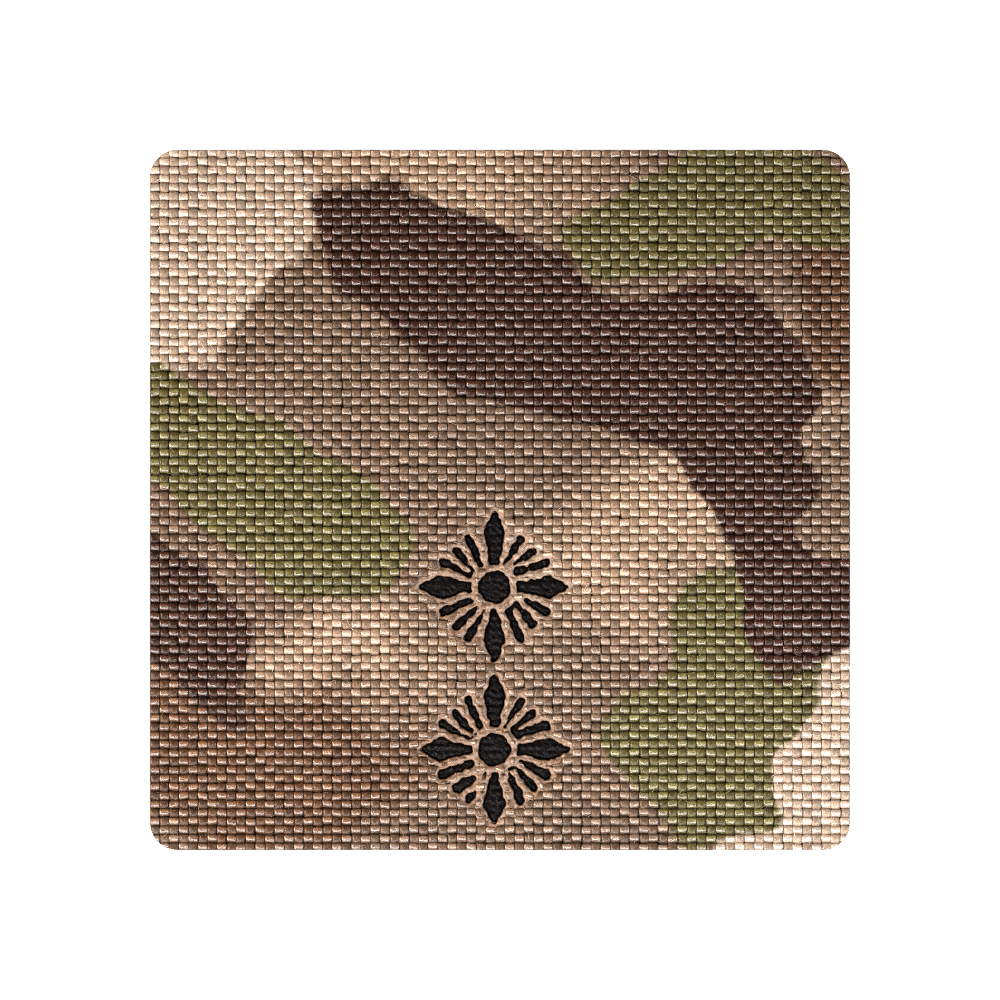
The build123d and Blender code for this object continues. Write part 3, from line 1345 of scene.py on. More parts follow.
@dataclass
class PrintedFace:
    """Plain-woven printed cloth with the stars cut through it by a hot cut.

    The yarns are swept one by one. Near an opening they sink into a melted rim, and all of them stand
    on a coated core, which closes the cloth.

    Attributes:
        crown: how many crowns' half lengths make one crossing.
        wander: how far a yarn sways to its sides.
        uneven: how far it rises and falls beside its wave.
        swell: how far its girth changes.
        twist: how far it rolls, in radians.
        slow_run: length of its slow wanderings, in crossings.
        quick_run: length of its quick ones.
        quick_sway: share of the quick ones in its sway.
        row_step: distance from yarn to yarn in the noise, past which they don't follow one another.
        march: step in which a yarn's free length is found.
        cut_gap: how far from an opening it ends.
        melt_waver: how far the border of the melted zone wanders.
        sunk_by: how far the yarns sink into the melted rim.
        sunk_span: distances from the melted zone's border between which they do.
        least_height: least height of a yarn's points over the underside.
        rim_gap: how far inside the rim the points of a yarn stay.
        edge_gap: how far from an opening they stay.
        strip_margin: free share of a yarn's strip on the flat map, on each side.
        set_sizes: inputs of the yarn tree that take a set's own sizes.
        cloth_sizes: those that take the cloth's.
        base: height of the cloth's underside.
        middle: height about which the yarns wave.
    """

    outline: Outline
    wardrobe: Wardrobe
    warp: YarnSet = YarnSet(
        thread=Thread.WARP,
        count=73,
        pitch=WARP_PITCH,
        width=0.68,
        thickness=0.34,
        crimp=0.12,
        droop=0.8,
        flatness=8.0,
        squareness=0.8,
        lean=0.0,
        seed=3.0,
        phases=(-0.53, -0.46, -0.34, 0.34, 0.46, 0.53),
    )
    weft: YarnSet = YarnSet(
        thread=Thread.WEFT,
        count=82,
        pitch=WEFT_PITCH,
        width=0.57,
        thickness=0.38,
        crimp=0.08,
        droop=1.8,
        flatness=12.0,
        squareness=1.0,
        lean=0.03,
        seed=11.0,
        phases=(-0.54, -0.48, -0.41, -0.28, 0.28, 0.41, 0.48, 0.54),
    )
    # Painted shade and highlight: the warp keeps about a third of the weft's tone, standing in for the key
    # light's sheen that the weft's crosswise filaments catch and the warp's don't; on_dark and on_light shift
    # this by the print's lightness.
    warp_finish: PrintedYarn = PrintedYarn(
        thread=Thread.WARP,
        tone=(0.27, 0.228, 0.182),
        foot=1.0,
        back=1.0,
        sunk=0.4,
        gloss=0.1,
        metal=0.1,
        on_dark=0.98,
        on_light=1.26,
    )
    weft_finish: PrintedYarn = PrintedYarn(
        thread=Thread.WEFT,
        tone=(0.88, 0.78, 0.66),
        foot=0.9,
        back=0.42,
        sunk=0.6,
        gloss=0.6,
        metal=0.25,
        on_dark=1.06,
        on_light=0.80,
    )
    sides: int = 7
    crown: float = 1.85
    wander: float = 0.34
    uneven: float = 0.07
    swell: float = 0.48
    twist: float = 0.6
    slow_run: float = 7.0
    quick_run: float = 1.3
    quick_sway: float = 0.6
    row_step: float = 7.31
    march: float = 0.05
    yarn_inset: float = 0.09
    cut_gap: float = 0.09
    shortest: float = 0.30
    melt_reach: float = 0.80
    melt_waver: float = 0.14
    melt_lump: float = 0.6
    sunk_by: float = 0.30
    sunk_span: tuple[float, float] = (0.05, 0.30)
    least_height: float = 0.05
    rim_gap: float = 0.05
    edge_gap: float = 0.06
    strip_margin: float = 0.04
    set_sizes: tuple[str, ...] = (
        "Width", "Thickness", "Crimp", "Flatness", "Droop", "Squareness", "Lean", "Seed"
    )
    cloth_sizes: tuple[str, ...] = ("Wander", "Uneven", "Swell", "Twist")
    base: float = field(init=False)
    middle: float = field(init=False)

    def __post_init__(self) -> None:
        """Takes the heights from the solid."""
        low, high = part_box(self.outline.node)
        self.base = low.z / MM
        self.middle = high.z / MM - self.weft.crimp - self.weft.thickness / 2

    def build(self) -> list[bpy.types.Object]:
        """Builds every piece of the cloth.

        Returns:
            The core and the pieces on it.
        """
        tree = self.yarn_tree()
        pieces = []
        for own, other, look, names in (
            (self.warp, self.weft, self.warp_finish, ("warp_yarns_left", "warp_yarns_right")),
            (self.weft, self.warp, self.weft_finish, ("weft_yarns_low", "weft_yarns_high")),
        ):
            finish = look.build(self.wardrobe)
            halves = np.array_split(np.arange(own.count), len(names))
            pieces += [self.yarns(name, own, other, part, tree, finish) for name, part in zip(names, halves)]
        pieces += MeltedRims(self).build()
        pieces.append(SealedEdge(self).build())
        core = CoatedCore(self).build()
        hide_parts(self.outline.node)
        for piece in [core, *pieces]:
            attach(piece, BODY)
        return [core, *pieces]

    def yarn_tree(self) -> bpy.types.NodeTree:
        """Builds the geometry tree that turns flat chains into waving, flattened yarns, in millimetres.

        Returns:
            The tree.
        """
        group, size, result, make = new_tree(
            "waving_yarns",
            Int=["Sides"],
            Vector=["Across"],
            Float=["Height", "Phase", *self.set_sizes, *self.cloth_sizes],
        )
        yarn = make.named("yarn")
        crossing = make.named("crossing")
        # the wave of the plain weave: off is 0 at a crown and 1 where the yarn goes under
        turn = make.math("ADD", make.math("ADD", crossing, yarn), size["Phase"])
        wave = make.math("COSINE", make.product(turn, math.pi))
        off = make.math("DIVIDE", make.math("ARCCOSINE", wave), math.pi)
        past = make.math("POWER", make.product(off, self.crown), size["Flatness"])
        fall = make.product(past, make.math("ADD", size["Droop"], 1.0))
        lift = make.product(make.math("MAXIMUM", make.math("SUBTRACT", 1.0, fall), -1.0), size["Crimp"])
        # the small wanderings of real yarns, each yarn with a row of its own in the noise
        spot = make.join(make.math("ADD", make.product(yarn, self.row_step), size["Seed"]), crossing)
        slow = make.split(make.drift(spot, self.slow_run))
        fast = make.split(make.drift(spot, self.quick_run))
        sway = make.math("ADD", slow["X"], make.product(fast["X"], self.quick_sway))
        sway = make.product(sway, size["Wander"])
        rise = make.product(make.math("ADD", fast["Y"], slow["Y"]), size["Uneven"])
        rise = make.math("ADD", rise, size["Height"])
        aside = make.vector("MULTIPLY", size["Across"], make.join(sway, sway, sway))
        line = make.curve(make.shift(size["Geometry"], make.vector("ADD", aside, make.join(z=rise))))
        girth = make.math("ADD", 1.0, make.product(make.math("ADD", fast["Z"], slow["Z"]), size["Swell"]))
        line = make.add("GeometryNodeSetCurveRadius", {"Curve": line, "Radius": girth}).outputs[0]
        line = make.store(line, "dive", make.product(off, 2.0))
        roll = make.product(make.math("ADD", fast["X"], slow["Z"]), size["Twist"])
        line = make.add("GeometryNodeSetCurveTilt", {"Curve": line, "Tilt": roll}).outputs[0]
        swept = make.sweep(make.upright(line), self.section(make, size))
        make.dress(make.shift(swept, make.join(z=lift)), size["Material"], result["Geometry"])
        return group

    def section(self, make: NodeMaker, size: Any) -> bpy.types.NodeSocket:
        """Makes the flattened section of a yarn, with all its points but one on the upper side.

        Args:
            make: the tree's maker.
            size: the tree's inputs.

        Returns:
            The section, with the share of a turn stored on it as around.
        """
        number = make.index()
        last = make.math("SUBTRACT", size["Sides"], 2.0)
        share = make.math("MINIMUM", make.math("DIVIDE", number, last), 1.0)
        share = make.math("ADD", share, make.product(make.math("GREATER_THAN", number, last), 0.5))
        marked = make.store(make.ring(size["Sides"], 1.0), "around", make.product(share, 0.5))
        angle = make.product(make.named("around"), 2 * math.pi)
        flat = []
        for way, full in (("COSINE", size["Width"]), ("SINE", size["Thickness"])):
            rim = make.math(way, angle)
            blunt = make.math("POWER", make.math("ABSOLUTE", rim), size["Squareness"])
            signed = make.product(blunt, make.math("SIGN", rim))
            flat.append(make.product(signed, make.product(full, -0.5)))
        flat[1] = make.math("ADD", flat[1], make.product(flat[0], size["Lean"]))
        return make.place(marked, make.join(*flat))

    def spans(self, own: YarnSet, other: YarnSet, number: int) -> list[np.ndarray]:
        """Finds where one yarn has its points, along the yarn, between the rim and the openings.

        Args:
            own: the yarn's set.
            other: the set that it crosses.
            number: number of the yarn.

        Returns:
            One row of places for each piece of the yarn.
        """
        across = own.first + number * own.pitch
        end = self.outline.reach(max(0.0, abs(across) - own.width / 2), self.yarn_inset)
        fine = np.arange(-end, end, self.march)
        flat = np.full((len(fine), 2), across)
        flat[:, 1 - own.thread.value] = fine
        free = self.outline.gap_to_star(flat, self.melt_reach)[0] > self.cut_gap
        change = np.flatnonzero(np.diff(np.concatenate([[False], free, [False]]).astype(int)))
        crossings = []
        for crossing in range(-1, other.count + 1):
            if (crossing + number + own.thread.value) % 2 == 0:
                crossings += [crossing + phase for phase in own.phases]
        marks = other.first + np.array(crossings) * other.pitch
        found = []
        for begin, stop in change.reshape(-1, 2):
            start, finish = fine[begin], end if stop == len(fine) else fine[stop - 1]
            if finish - start > self.shortest:
                inner = marks[(marks > start + self.march) & (marks < finish - self.march)]
                found.append(np.concatenate([[start], inner, [finish]]))
        return found

    def yarns(self, name: str, own: YarnSet, other: YarnSet, part: np.ndarray, tree: Any, finish: Any) -> Any:
        """Builds part of one set of yarns.

        Args:
            name: piece name.
            own: the set.
            other: the set that it crosses.
            part: numbers of the yarns.
            tree: the yarn tree.
            finish: the material.

        Returns:
            The piece.
        """
        axis = own.thread.value
        rows, numbers, crossings = [], [], []
        for number in part:
            for along in self.spans(own, other, number):
                row = np.zeros((len(along), 3))
                row[:, axis] = own.first + number * own.pitch
                row[:, 1 - axis] = along
                rows.append(row)
                numbers.append(np.full(len(along), float(number)))
                crossings.append((along - other.first) / other.pitch)
        base = chains(name + "_base", rows, yarn=numbers, crossing=crossings)
        mesh = run_tree(name, base, tree, {
            "Sides": self.sides,
            "Across": (1.0, 0.0, 0.0) if axis == 0 else (0.0, 1.0, 0.0),
            "Height": self.middle,
            "Phase": float(axis),
            "Material": finish,
            **{size: getattr(own, size.lower()) for size in self.set_sizes},
            **{size: getattr(self, size.lower()) for size in self.cloth_sizes},
        })
        write_points(mesh, self.settle(read_vectors(mesh.vertices, "co")))
        self.wrap(mesh, axis, part)
        set_smooth(mesh, True)
        return linked(name, mesh)

    def settle(self, points: np.ndarray) -> np.ndarray:
        """Keeps yarn points inside the rim and out of the openings, and sinks them where the cloth melted.

        Args:
            points: n by 3 points.

        Returns:
            The moved points.
        """
        points = points.copy()
        half = self.outline.half - self.rim_gap
        points[:, :2] = into_rounded_square(points[:, :2], half, self.outline.corner)
        gaps, places = self.outline.gap_to_star(points, self.melt_reach)
        close = gaps < self.edge_gap
        away = (points[close, :2] - places[close]) * np.sign(gaps[close])[:, None]
        length = np.maximum(np.linalg.norm(away, axis=1), 1e-6)
        points[close, :2] = places[close] + away / length[:, None] * self.edge_gap
        near = gaps < self.melt_reach
        sunk = 1.0 - smoothstep(gaps[near] + self.melt_border(points[near]), *self.sunk_span)
        lowest = self.base + self.least_height
        points[near, 2] = np.maximum(points[near, 2] - self.sunk_by * sunk, lowest)
        return points

    def melt_border(self, points: np.ndarray) -> np.ndarray:
        """Returns how far the border of the melted zone is moved at each point."""
        return self.melt_waver * lumps(points, self.melt_lump, 5.0)

    def wrap(self, mesh: bpy.types.Mesh, axis: int, part: np.ndarray) -> None:
        """Lays each yarn of the mesh out as its own strip, for a flat map of its finish.

        Args:
            mesh: the yarns' mesh.
            axis: the axis that the yarns lie across.
            part: numbers of the yarns.
        """
        around = read_values(mesh, "around")
        yarn = read_values(mesh, "yarn")
        points = read_vectors(mesh.vertices, "co") / MM
        corners = np.zeros(len(mesh.loops), np.int32)
        mesh.loops.foreach_get("vertex_index", corners)
        starts = np.zeros(len(mesh.polygons), np.int32)
        mesh.polygons.foreach_get("loop_start", starts)
        share = around[corners]
        highest = np.maximum.reduceat(share, starts)
        owner = np.repeat(np.arange(len(starts)), np.diff(np.append(starts, len(corners))))
        # a face that closes the turn starts again from the far side
        share = share + ((highest[owner] > 0.7) & (share < 0.3))
        inner = 1.0 - 2 * self.strip_margin
        across = (yarn[corners] - part[0] + self.strip_margin + inner * share) / len(part)
        along = points[corners, 1 - axis] / (2 * self.outline.half) + 0.5
        layer = mesh.uv_layers.new(name=FLAT_MAP)
        layer.data.foreach_set("uv", np.column_stack([across, along]).astype(np.float32).ravel())

    def weave_height(self, flat: np.ndarray) -> np.ndarray:
        """Works out how high the woven surface stands over its middle height.

        Args:
            flat: n by 2 points.

        Returns:
            The height at each point.
        """
        tops = []
        for own, other in ((self.warp, self.weft), (self.weft, self.warp)):
            axis = own.thread.value
            place = (flat[:, axis] - own.first) / own.pitch
            number = np.round(place)
            off = np.clip(np.abs(place - number) * own.pitch / (own.width / 2), 0.0, 1.0)
            turn = (flat[:, 1 - axis] - other.first) / other.pitch + number + axis
            past = (self.crown * np.abs(turn - 2.0 * np.round(turn / 2.0))) ** own.flatness
            lift = np.maximum(1.0 - (1.0 + own.droop) * past, -1.0) * own.crimp
            tops.append(lift + own.thickness / 2 * np.sqrt(1.0 - off * off))
        return np.maximum(*tops)


@dataclass
class MeltedRims:
    """Melted rims round the openings of the stars, which run out into the weave.

    Attributes:
        rings: distances of the rings of points that follow the openings.
        ring_share: share of a ring's distance under which a point of it is too close to an opening.
        grid_from: distance from the openings past which the points lie on a grid.
        longest: length of side over which a triangle is left out.
        beads: reach, size and plane of the noise for each size of lump.
        brink: width of the rounding at the opening.
        woven_span: distances between which the rim turns into the weave.
        tuck: how far it lies under the weave there.
        margin: how far past the star's box its points are laid.
        lift: height of its underside over the cloth's.
    """

    face: PrintedFace
    names: tuple[str, str] = ("upper_star_rim", "lower_star_rim")
    rings: tuple[float, ...] = (0.045, 0.10, 0.17, 0.26)
    grid_from: float = 0.33
    ring_share: float = 0.85
    step: float = 0.12
    spacing: float = 0.05
    longest: float = 0.45
    swell: float = 0.10
    beads: tuple[tuple[float, float, float], ...] = ((0.08, 0.38, 1.0), (0.05, 0.16, 2.0))
    brink: float = 0.08
    brink_drop: float = 0.14
    woven_span: tuple[float, float] = (0.02, 0.32)
    tuck: float = 0.07
    margin: float = 1.0
    lift: float = 0.03

    def build(self) -> list[bpy.types.Object]:
        """Builds both rims and returns them."""
        finish = MeltedNylon().build(self.face.wardrobe)
        return [self.rim(name, star, finish) for name, star in zip(self.names, self.face.outline.stars)]

    def free_points(self, star: StarCut) -> np.ndarray:
        """Lays points round the openings, close together near them.

        Args:
            star: the openings.

        Returns:
            n by 2 points.
        """
        points = []
        for distance in self.rings:
            moved = np.vstack(star.grown(distance))
            points.append(moved[star.nearest(moved)[0] > self.ring_share * distance])
        grid = star.grid(self.margin, self.step, self.step * math.sqrt(0.75), self.step / 2)
        gaps = star.nearest(grid)[0]
        points.append(grid[(gaps > self.grid_from) & (gaps < self.face.melt_reach)])
        return thinned(np.vstack(points), self.spacing)

    def rim(self, name: str, star: StarCut, finish: bpy.types.Material) -> bpy.types.Object:
        """Builds the melted rim round one star's openings.

        Args:
            name: piece name.
            star: the openings.
            finish: the material.

        Returns:
            The piece.
        """
        free = self.free_points(star)
        plan, triangles = fill_plan(free, star.loops)
        gaps = star.nearest(plan)[0]
        gaps[len(free) :] = 0.0
        corners = plan[triangles]
        longest = np.linalg.norm(corners - np.roll(corners, 1, axis=1), axis=2).max(axis=1)
        on_edge = (triangles >= len(free)).all(axis=1)
        inside = np.zeros(len(triangles), bool)
        inside[on_edge] = star.nearest(corners[on_edge].mean(axis=1))[0] < 0
        triangles = triangles[~inside & (longest < self.longest)]
        border = self.face.melt_border(plan)
        melted = self.swell
        for reach, size, plane in self.beads:
            melted = melted + reach * lumps(plan, size, plane)
        round_off = np.clip(1.0 - gaps / self.brink, 0.0, 1.0)
        melted -= self.brink_drop * (1.0 - np.sqrt(1.0 - round_off**2))
        woven = smoothstep(gaps + border, *self.woven_span)
        weave = self.face.weave_height(plan) - self.tuck
        height = self.face.middle + melted * (1.0 - woven) + weave * woven
        points, faces, number = thick_plate(plan, triangles, height, self.face.base + self.lift)
        piece = mesh_object(name, points, faces)
        write_values(piece.data, "gap", gaps[number])
        piece.data.materials.append(finish)
        return piece


@dataclass
class SealedEdge:
    """Uneven melted bead that the hot cut leaves round the rim.

    Attributes:
        upward: how much more it wavers upward than aside.
        drop: how far its middle lies under the yarns' middle.
    """

    face: PrintedFace
    finish: BackedCloth = BackedCloth("sealed_rim", 0.22, 0.45)
    width: float = 0.13
    height: float = 0.62
    sides: int = 8
    waver: float = 0.012
    waver_size: float = 0.45
    upward: float = 1.6
    inset: float = 0.06
    step: float = 0.16
    drop: float = 0.12

    def tree(self) -> bpy.types.NodeTree:
        """Builds the geometry tree that sweeps the bead along a wavering loop.

        Returns:
            The tree.
        """
        group, size, result, make = new_tree("sealed_edge", Int=["Sides"], Float=["Width", "Height", "Waver"])
        place = make.add("GeometryNodeInputPosition").outputs[0]
        reach = make.join(size["Waver"], size["Waver"], make.product(size["Waver"], self.upward))
        jolt = make.vector("MULTIPLY", make.drift(place, self.waver_size, 2.0), reach)
        line = make.upright(make.curve(make.shift(size["Geometry"], jolt)))
        flat = make.vector("MULTIPLY", place, make.join(size["Width"], size["Height"]))
        section = make.place(make.ring(size["Sides"], 0.5), flat)
        make.dress(make.sweep(line, section, capped=False), size["Material"], result["Geometry"])
        return group

    def build(self) -> bpy.types.Object:
        """Builds the bead.

        Returns:
            The piece.
        """
        outline = self.face.outline
        loop = rounded_square(outline.half - self.inset, outline.corner - self.inset, self.step)
        base = chains("edge_base", [with_height(loop, self.face.middle - self.drop)], closed=True)
        mesh = run_tree("sealed_edge", base, self.tree(), {
            "Sides": self.sides,
            "Width": self.width,
            "Height": self.height,
            "Waver": self.waver,
            "Material": self.finish.build(self.face.wardrobe),
        })
        write_points(mesh, read_vectors(mesh.vertices, "co"))
        set_smooth(mesh, True)
        return linked("sealed_edge", mesh)


@dataclass
class CoatedCore:
    """Coated core of the cloth under the yarns, open where the stars are, darkened as painted shade in the
    gaps between the yarns.
    """

    face: PrintedFace
    # painted shade: the core keeps 0.16 of the print's colour so that the gaps between the yarns read dark
    finish: BackedCloth = BackedCloth("core_painted_shade", 0.16, 0.6)
    height: float = 0.45
    inset: float = 0.04
    step: float = 0.5
    clearance: float = 0.03

    def build(self) -> bpy.types.Object:
        """Builds the core.

        Returns:
            The piece.
        """
        outline = self.face.outline
        half, corner = outline.half - self.inset, outline.corner - self.inset
        loops = [loop for star in outline.stars for loop in star.grown(self.clearance)]
        plan, triangles = fill_plan(np.zeros((0, 2)), [rounded_square(half, corner, self.step), *loops])
        middles = plan[triangles].mean(axis=1)
        gaps = outline.gap_to_star(middles, self.face.melt_reach)[0]
        within = np.linalg.norm(into_rounded_square(middles, half, corner) - middles, axis=1) < 1e-6
        top = np.full(len(plan), self.face.base + self.height)
        points, faces, _ = thick_plate(plan, triangles[(gaps > 0.0) & within], top, self.face.base)
        piece = mesh_object("face_core", points, faces, smooth=False)
        piece.data.materials.append(self.finish.build(self.face.wardrobe))
        return piece


# Black ground


@dataclass
class BlackGround:
    """Black cloth layer under the print, pressed up into each opening of the stars.

    Attributes:
        land_drop: how far under the print's top the cloth stands in the openings.
        land_depth: how far it reaches down into the layer.
        wall_gap: gap between it and the openings' walls.
        edge_gap: how far from the walls the grid begins.
        dome: how far it falls at the walls.
        dome_reach: how far from the walls it falls.
        steep_span: slopes, as 1 less the upward part of the normal, from dull to glossy.
    """

    outline: Outline
    wardrobe: Wardrobe
    node: str = "ground_cloth"
    finish: BlackNylon = BlackNylon("black_nylon", Dye.BLACK, rougher=-0.20, dust=0.15, relief=0.05, matt=0.8)
    clearance: float = 0.05
    bevel: float = 0.12
    step: float = 1.0
    land_drop: float = 0.42
    land_depth: float = 0.2
    wall_gap: float = 0.012
    land_step: float = 0.09
    edge_gap: float = 0.07
    pitch: float = 0.55
    weave: float = 0.14
    grain: float = 0.25
    dome: float = 0.10
    dome_reach: float = 0.12
    steep_span: tuple[float, float] = (0.004, 0.03)

    def build(self) -> list[bpy.types.Object]:
        """Builds the layer and what shows of it in the openings.

        Returns:
            The layer and its lands.
        """
        low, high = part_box(self.node)
        half, bottom = high.x / MM, low.z / MM
        corner = self.outline.corner - (self.outline.half - half)
        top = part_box(self.outline.node)[0].z / MM - self.clearance
        plate = bevelled_slab("ground_layer", half, corner, self.step, (
            (self.bevel, bottom),
            (0.0, bottom + self.bevel),
            (0.0, top - self.bevel),
            (self.bevel, top),
        ))
        lands = self.lands(top - self.land_depth)
        finish = self.finish.build(self.wardrobe)
        for piece in (plate, lands):
            piece.data.materials.append(finish)
            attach(piece, BODY)
        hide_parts(self.node)
        return [plate, lands]

    def lands(self, bottom: float) -> bpy.types.Object:
        """Builds what shows of the black cloth in the openings, woven and a little domed.

        Args:
            bottom: height of its underside.

        Returns:
            The piece, with its steepness stored on it.
        """
        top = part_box(self.outline.node)[1].z / MM - self.land_drop
        points, faces = [], []
        count = 0
        for star in self.outline.stars:
            grid = star.grid(0.0, self.land_step, self.land_step, 0.0)
            grid = grid[star.nearest(grid)[0] < -self.edge_gap]
            plan, triangles = fill_plan(grid, star.grown(-self.wall_gap))
            triangles = triangles[star.nearest(plan[triangles].mean(axis=1))[0] < -self.wall_gap]
            gaps = np.minimum(star.nearest(plan)[0], 0.0)
            wave = np.cos(math.pi * plan[:, 0] / self.pitch) * np.cos(math.pi * plan[:, 1] / self.pitch)
            ripple = 0.5 * np.abs(wave) + 0.5 * lumps(plan, self.grain, 7.0)
            height = top + self.weave * ripple - self.dome * np.exp(gaps / self.dome_reach)
            solid, walls, _ = thick_plate(plan, triangles, height, bottom)
            points.append(solid)
            faces += [[corner + count for corner in face] for face in walls]
            count += len(solid)
        piece = mesh_object("ground_lands", np.vstack(points), faces)
        slope = 1.0 - np.abs(read_vectors(piece.data.vertex_normals, "vector")[:, 2])
        write_values(piece.data, "steep", smoothstep(slope, *self.steep_span))
        return piece


# Hook tape


@dataclass
class HookTape:
    """Hook tape sewn under the patch: a woven base with rows of small hooks, which stand on the floor.

    Attributes:
        stem: places of the stem's points, as shares of the hook's height under the tape.
        arc: angles of the bend's points.
        sway: how far the hooks lean and turn, in radians.
    """

    outline: Outline
    wardrobe: Wardrobe
    node: str = "hook_backing"
    finish: BlackNylon = BlackNylon("tape_nylon", Dye.TAPE, rougher=0.1, dust=0.5, relief=0.05)
    base_thickness: float = 0.55
    low_bevel: float = 0.15
    high_bevel: float = 0.1
    step: float = 1.0
    row_gap: float = 1.55
    hook_gap: float = 1.45
    margin: float = 1.0
    wire: float = 0.11
    wire_sides: int = 5
    bend: float = 0.34
    stem: tuple[float, ...] = (0.2, 0.45)
    root: float = 0.1
    arc: tuple[float, ...] = (20.0, 55.0, 90.0, 125.0, 160.0, 185.0)
    sway: tuple[float, float, float] = (0.1, 0.1, 0.35)
    seed: int = 4

    def build(self) -> list[bpy.types.Object]:
        """Builds the tape and its hooks.

        Returns:
            The base and the hooks.
        """
        low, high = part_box(self.node)
        half, top = high.x / MM, high.z / MM
        corner = self.outline.corner - (self.outline.half - half)
        bottom = top - self.base_thickness
        tape = bevelled_slab("tape_base", half, corner, self.step, (
            (self.low_bevel, bottom),
            (0.0, bottom + self.low_bevel),
            (0.0, top - self.high_bevel),
            (self.high_bevel, top),
        ))
        finish = self.finish.build(self.wardrobe)
        tape.data.materials.append(finish)
        hooks = self.hooks(half, bottom, low.z / MM, finish)
        for piece in (tape, hooks):
            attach(piece, BODY)
        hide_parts(self.node)
        return [tape, hooks]

    def tree(self) -> bpy.types.NodeTree:
        """Builds the geometry tree that repeats one hook over a square grid.

        Returns:
            The tree.
        """
        group, size, result, make = new_tree(
            "hook_field", Float=["Side", "Wire"], Int=["Sides", "Rows", "Hooks", "Seed"], Vector=["Sway"]
        )
        hook = make.sweep(make.curve(size["Geometry"]), make.ring(size["Sides"], size["Wire"]))
        grid = make.add("GeometryNodeMeshGrid", {
            "Size X": size["Side"],
            "Size Y": size["Side"],
            "Vertices X": size["Rows"],
            "Vertices Y": size["Hooks"],
        })
        turned = make.chance((-1.0, -1.0, -1.0), (1.0, 1.0, 1.0), size["Seed"])
        turned = make.vector("MULTIPLY", turned, size["Sway"])
        flip = make.product(make.math("MODULO", make.index(), 2.0), math.pi)
        laid = make.add("GeometryNodeInstanceOnPoints", {
            "Points": grid.outputs["Mesh"],
            "Instance": hook,
            "Rotation": make.vector("ADD", turned, make.join(z=flip)),
        })
        make.dress(laid.outputs[0], size["Material"], result["Geometry"])
        return group

    def hooks(self, half: float, root: float, tip: float, finish: bpy.types.Material) -> bpy.types.Object:
        """Builds the field of hooks.

        Args:
            half: half of the tape's side.
            root: height of the tape's underside.
            tip: height of the hooks' lowest point.
            finish: the material.

        Returns:
            The piece.
        """
        side = 2 * (half - self.margin)
        span = root - tip
        bend = span * self.bend
        turn_height = tip + self.wire + bend
        stem = [(0.0, 0.0, root + self.root)] + [(0.0, 0.0, root - share * span) for share in self.stem]
        arc = [
            (0.0, bend - bend * math.cos(angle), turn_height - bend * math.sin(angle))
            for angle in np.radians(self.arc)
        ]
        mesh = run_tree("tape_hooks", chains("hook_base", [np.array(stem + arc)]), self.tree(), {
            "Side": side,
            "Wire": self.wire,
            "Sides": self.wire_sides,
            "Rows": round(side / self.row_gap) + 1,
            "Hooks": round(side / self.hook_gap) + 1,
            "Seed": self.seed,
            "Sway": self.sway,
            "Material": finish,
        })
        points = read_vectors(mesh.vertices, "co")
        points[:, 2] = np.maximum(points[:, 2], tip)
        write_points(mesh, points)
        set_smooth(mesh, True)
        return linked("tape_hooks", mesh)


# Loose filaments


@dataclass
class StrayFilaments:
    """Fine loops of broken and bulked filament that stand out of the printed yarns.

    Attributes:
        least: length of the shortest, as a share.
        most: length of the longest, as a share.
        lean: how far a loop leans, in radians.
    """

    face: PrintedFace
    finish: BackedCloth = BackedCloth("loose_filament", 0.8, 0.4)
    count: int = 1500
    length: float = 0.42
    girth: float = 0.014
    sides: int = 3
    bends: int = 6
    least: float = 0.45
    most: float = 1.25
    lean: float = 0.35
    turn: float = 6.28
    rim_gap: float = 0.6
    star_gap: float = 0.7
    seed: int = 21

    def tree(self) -> bpy.types.NodeTree:
        """Builds the geometry tree that stands one loop on each point, turned and scaled by chance.

        Returns:
            The tree.
        """
        group, size, result, make = new_tree("stray_filaments", Float=["Length", "Girth"], Int=["Seed"])
        arc = make.add("GeometryNodeCurvePrimitiveBezierSegment", {
            "Resolution": self.bends,
            "Start": (-0.5, 0.0, -0.1),
            "Start Handle": (-0.25, 0.12, 0.24),
            "End Handle": (0.25, -0.12, 0.24),
            "End": (0.5, 0.05, -0.1),
        })
        thin = make.math("DIVIDE", size["Girth"], size["Length"])
        hair = make.sweep(arc.outputs[0], make.ring(self.sides, thin))
        lean, turn = self.lean, self.turn
        turned = make.chance((-lean, -lean, 0.0), (lean, lean, turn), size["Seed"])
        scale = make.product(make.chance(self.least, self.most, size["Seed"]), size["Length"])
        points = make.add("GeometryNodeMeshToPoints", {"Mesh": size["Geometry"]})
        laid = make.add("GeometryNodeInstanceOnPoints", {
            "Points": points.outputs[0],
            "Instance": hair,
            "Rotation": turned,
            "Scale": make.join(scale, scale, scale),
        })
        make.dress(laid.outputs[0], size["Material"], result["Geometry"])
        return group

    def build(self) -> bpy.types.Object:
        """Builds the loops.

        Returns:
            The piece.
        """
        mesh = bpy.data.meshes.new("filament_base")
        mesh.from_pydata(self.places().tolist(), [], [])
        made = run_tree("stray_filaments", linked("filament_base", mesh), self.tree(), {
            "Length": self.length,
            "Girth": self.girth,
            "Seed": self.seed,
            "Material": self.finish.build(self.face.wardrobe),
        })
        write_points(made, read_vectors(made.vertices, "co"))
        piece = linked("stray_filaments", made)
        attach(piece, BODY)
        return piece

    def places(self) -> np.ndarray:
        """Scatters places on the woven surface, clear of the openings and the rim.

        Returns:
            n by 3 points.
        """
        outline = self.face.outline
        chance = np.random.default_rng(self.seed)
        reach = outline.half - self.rim_gap
        flat = chance.uniform(-reach, reach, (self.count, 2))
        flat = flat[outline.gap_to_star(flat, 1.0)[0] > self.star_gap]
        return np.column_stack([flat, self.face.middle + self.face.weave_height(flat)])


# Studio


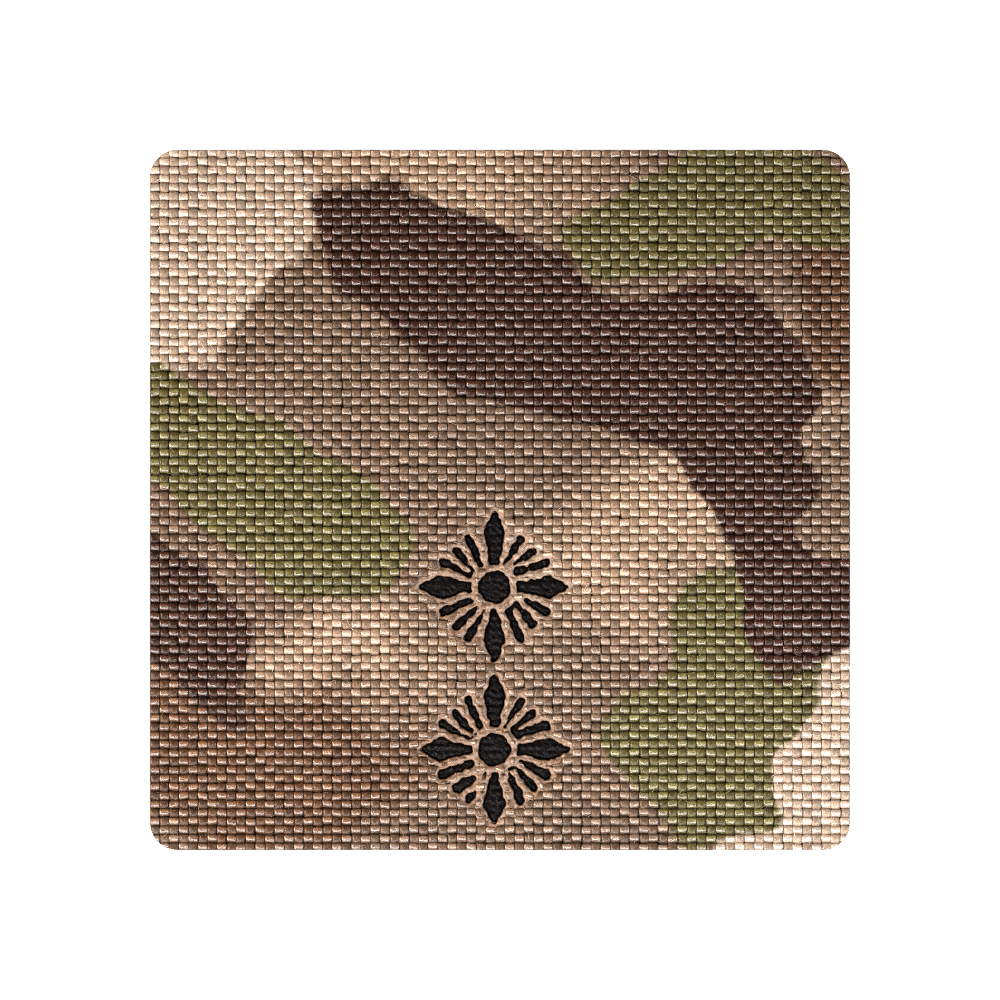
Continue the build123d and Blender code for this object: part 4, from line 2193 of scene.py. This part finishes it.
@dataclass(frozen=True)
class SoftLight:
    """One area light aimed at the patch: its place and extent in millimetres, power in watts and tint."""

    name: str
    place: tuple[float, float, float]
    extent: tuple[float, float]
    power: float
    tint: tuple[float, float, float]

    def build(self) -> None:
        """Adds the light."""
        lamp = bpy.data.lights.new(self.name, "AREA")
        lamp.shape = "RECTANGLE"
        lamp.size, lamp.size_y = (side * MM for side in self.extent)
        lamp.energy = self.power
        lamp.color = self.tint
        piece = bpy.data.objects.new(self.name, lamp)
        piece.location = Vector(self.place) * MM
        piece.rotation_euler = (-Vector(self.place)).to_track_quat("-Z", "Y").to_euler()
        bpy.context.scene.collection.objects.link(piece)


@dataclass
class Studio:
    """White floor, soft lights and the camera straight above the print."""

    frame_width: float = 71.28
    lens: float = 135.0
    sensor: float = 36.0
    air: float = 0.08
    floor_half: float = 1500.0
    floor_corner: float = 300.0
    floor_step: float = 600.0
    floor_depth: float = 5.0
    lights: tuple[SoftLight, ...] = (
        SoftLight("key_light", (0.0, -80.0, 90.0), (300.0, 40.0), 0.64, (1.0, 0.975, 0.96)),
        SoftLight("left_light", (-250.0, -40.0, 170.0), (90.0, 110.0), 2.2, (1.0, 0.80, 0.62)),
        SoftLight("right_light", (250.0, -60.0, 170.0), (90.0, 110.0), 0.50, (1.0, 0.95, 0.95)),
    )

    def build(self) -> None:
        """Sets up the floor, the lights, the air and the camera."""
        self.floor()
        for light in self.lights:
            light.build()
        world = bpy.data.worlds.new("studio_air")
        world.use_nodes = True
        air = world.node_tree.nodes["Background"]
        air.inputs["Color"].default_value = (1.0, 1.0, 1.0, 1.0)
        air.inputs["Strength"].default_value = self.air
        scene = bpy.context.scene
        scene.world = world
        scene.view_settings.view_transform = "Standard"
        scene.cycles.filter_width = 1.0
        scene.cycles.max_bounces = 4
        scene.cycles.use_denoising = False
        self.camera()

    def floor(self) -> None:
        """Makes the floor, a wide plain sheet under the patch."""
        levels = ((0.0, -self.floor_depth), (0.0, 0.0))
        piece = bevelled_slab("floor", self.floor_half, self.floor_corner, self.floor_step, levels)
        set_smooth(piece.data, False)
        material = bpy.data.materials.new("white_floor")
        material.use_nodes = True
        shader = material.node_tree.nodes["Principled BSDF"]
        shader.inputs["Base Color"].default_value = (0.9, 0.9, 0.9, 1.0)
        shader.inputs["Roughness"].default_value = 0.9
        shader.inputs["Emission Color"].default_value = (1.0, 1.0, 1.0, 1.0)
        shader.inputs["Emission Strength"].default_value = 1.0
        piece.data.materials.append(material)

    def camera(self) -> None:
        """Places the camera so that the frame is frame_width wide at the printed face."""
        lens = bpy.data.cameras.new("camera")
        lens.lens, lens.sensor_width = self.lens, self.sensor
        lens.clip_start, lens.clip_end = 0.01, 10.0
        piece = bpy.data.objects.new("camera", lens)
        distance = self.frame_width * self.lens / self.sensor
        piece.location = (0.0, 0.0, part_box("face_cloth")[1].z + distance * MM)
        bpy.context.scene.collection.objects.link(piece)
        bpy.context.scene.camera = piece


def main() -> None:
    """Builds the patch from the black ground up, then the studio."""
    logging.basicConfig(level=logging.INFO, format="%(name)s: %(message)s")
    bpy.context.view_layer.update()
    outline = Outline()
    wardrobe = Wardrobe()
    face = PrintedFace(outline, wardrobe)
    pieces = [
        *BlackGround(outline, wardrobe).build(),
        *HookTape(outline, wardrobe).build(),
        *face.build(),
        StrayFilaments(face).build(),
    ]
    for piece in pieces:
        count = sum(len(polygon.vertices) - 2 for polygon in piece.data.polygons)
        LOG.info("%s: %d triangles", piece.name, count)
    Studio().build()


if __name__ == "__main__":
    main()
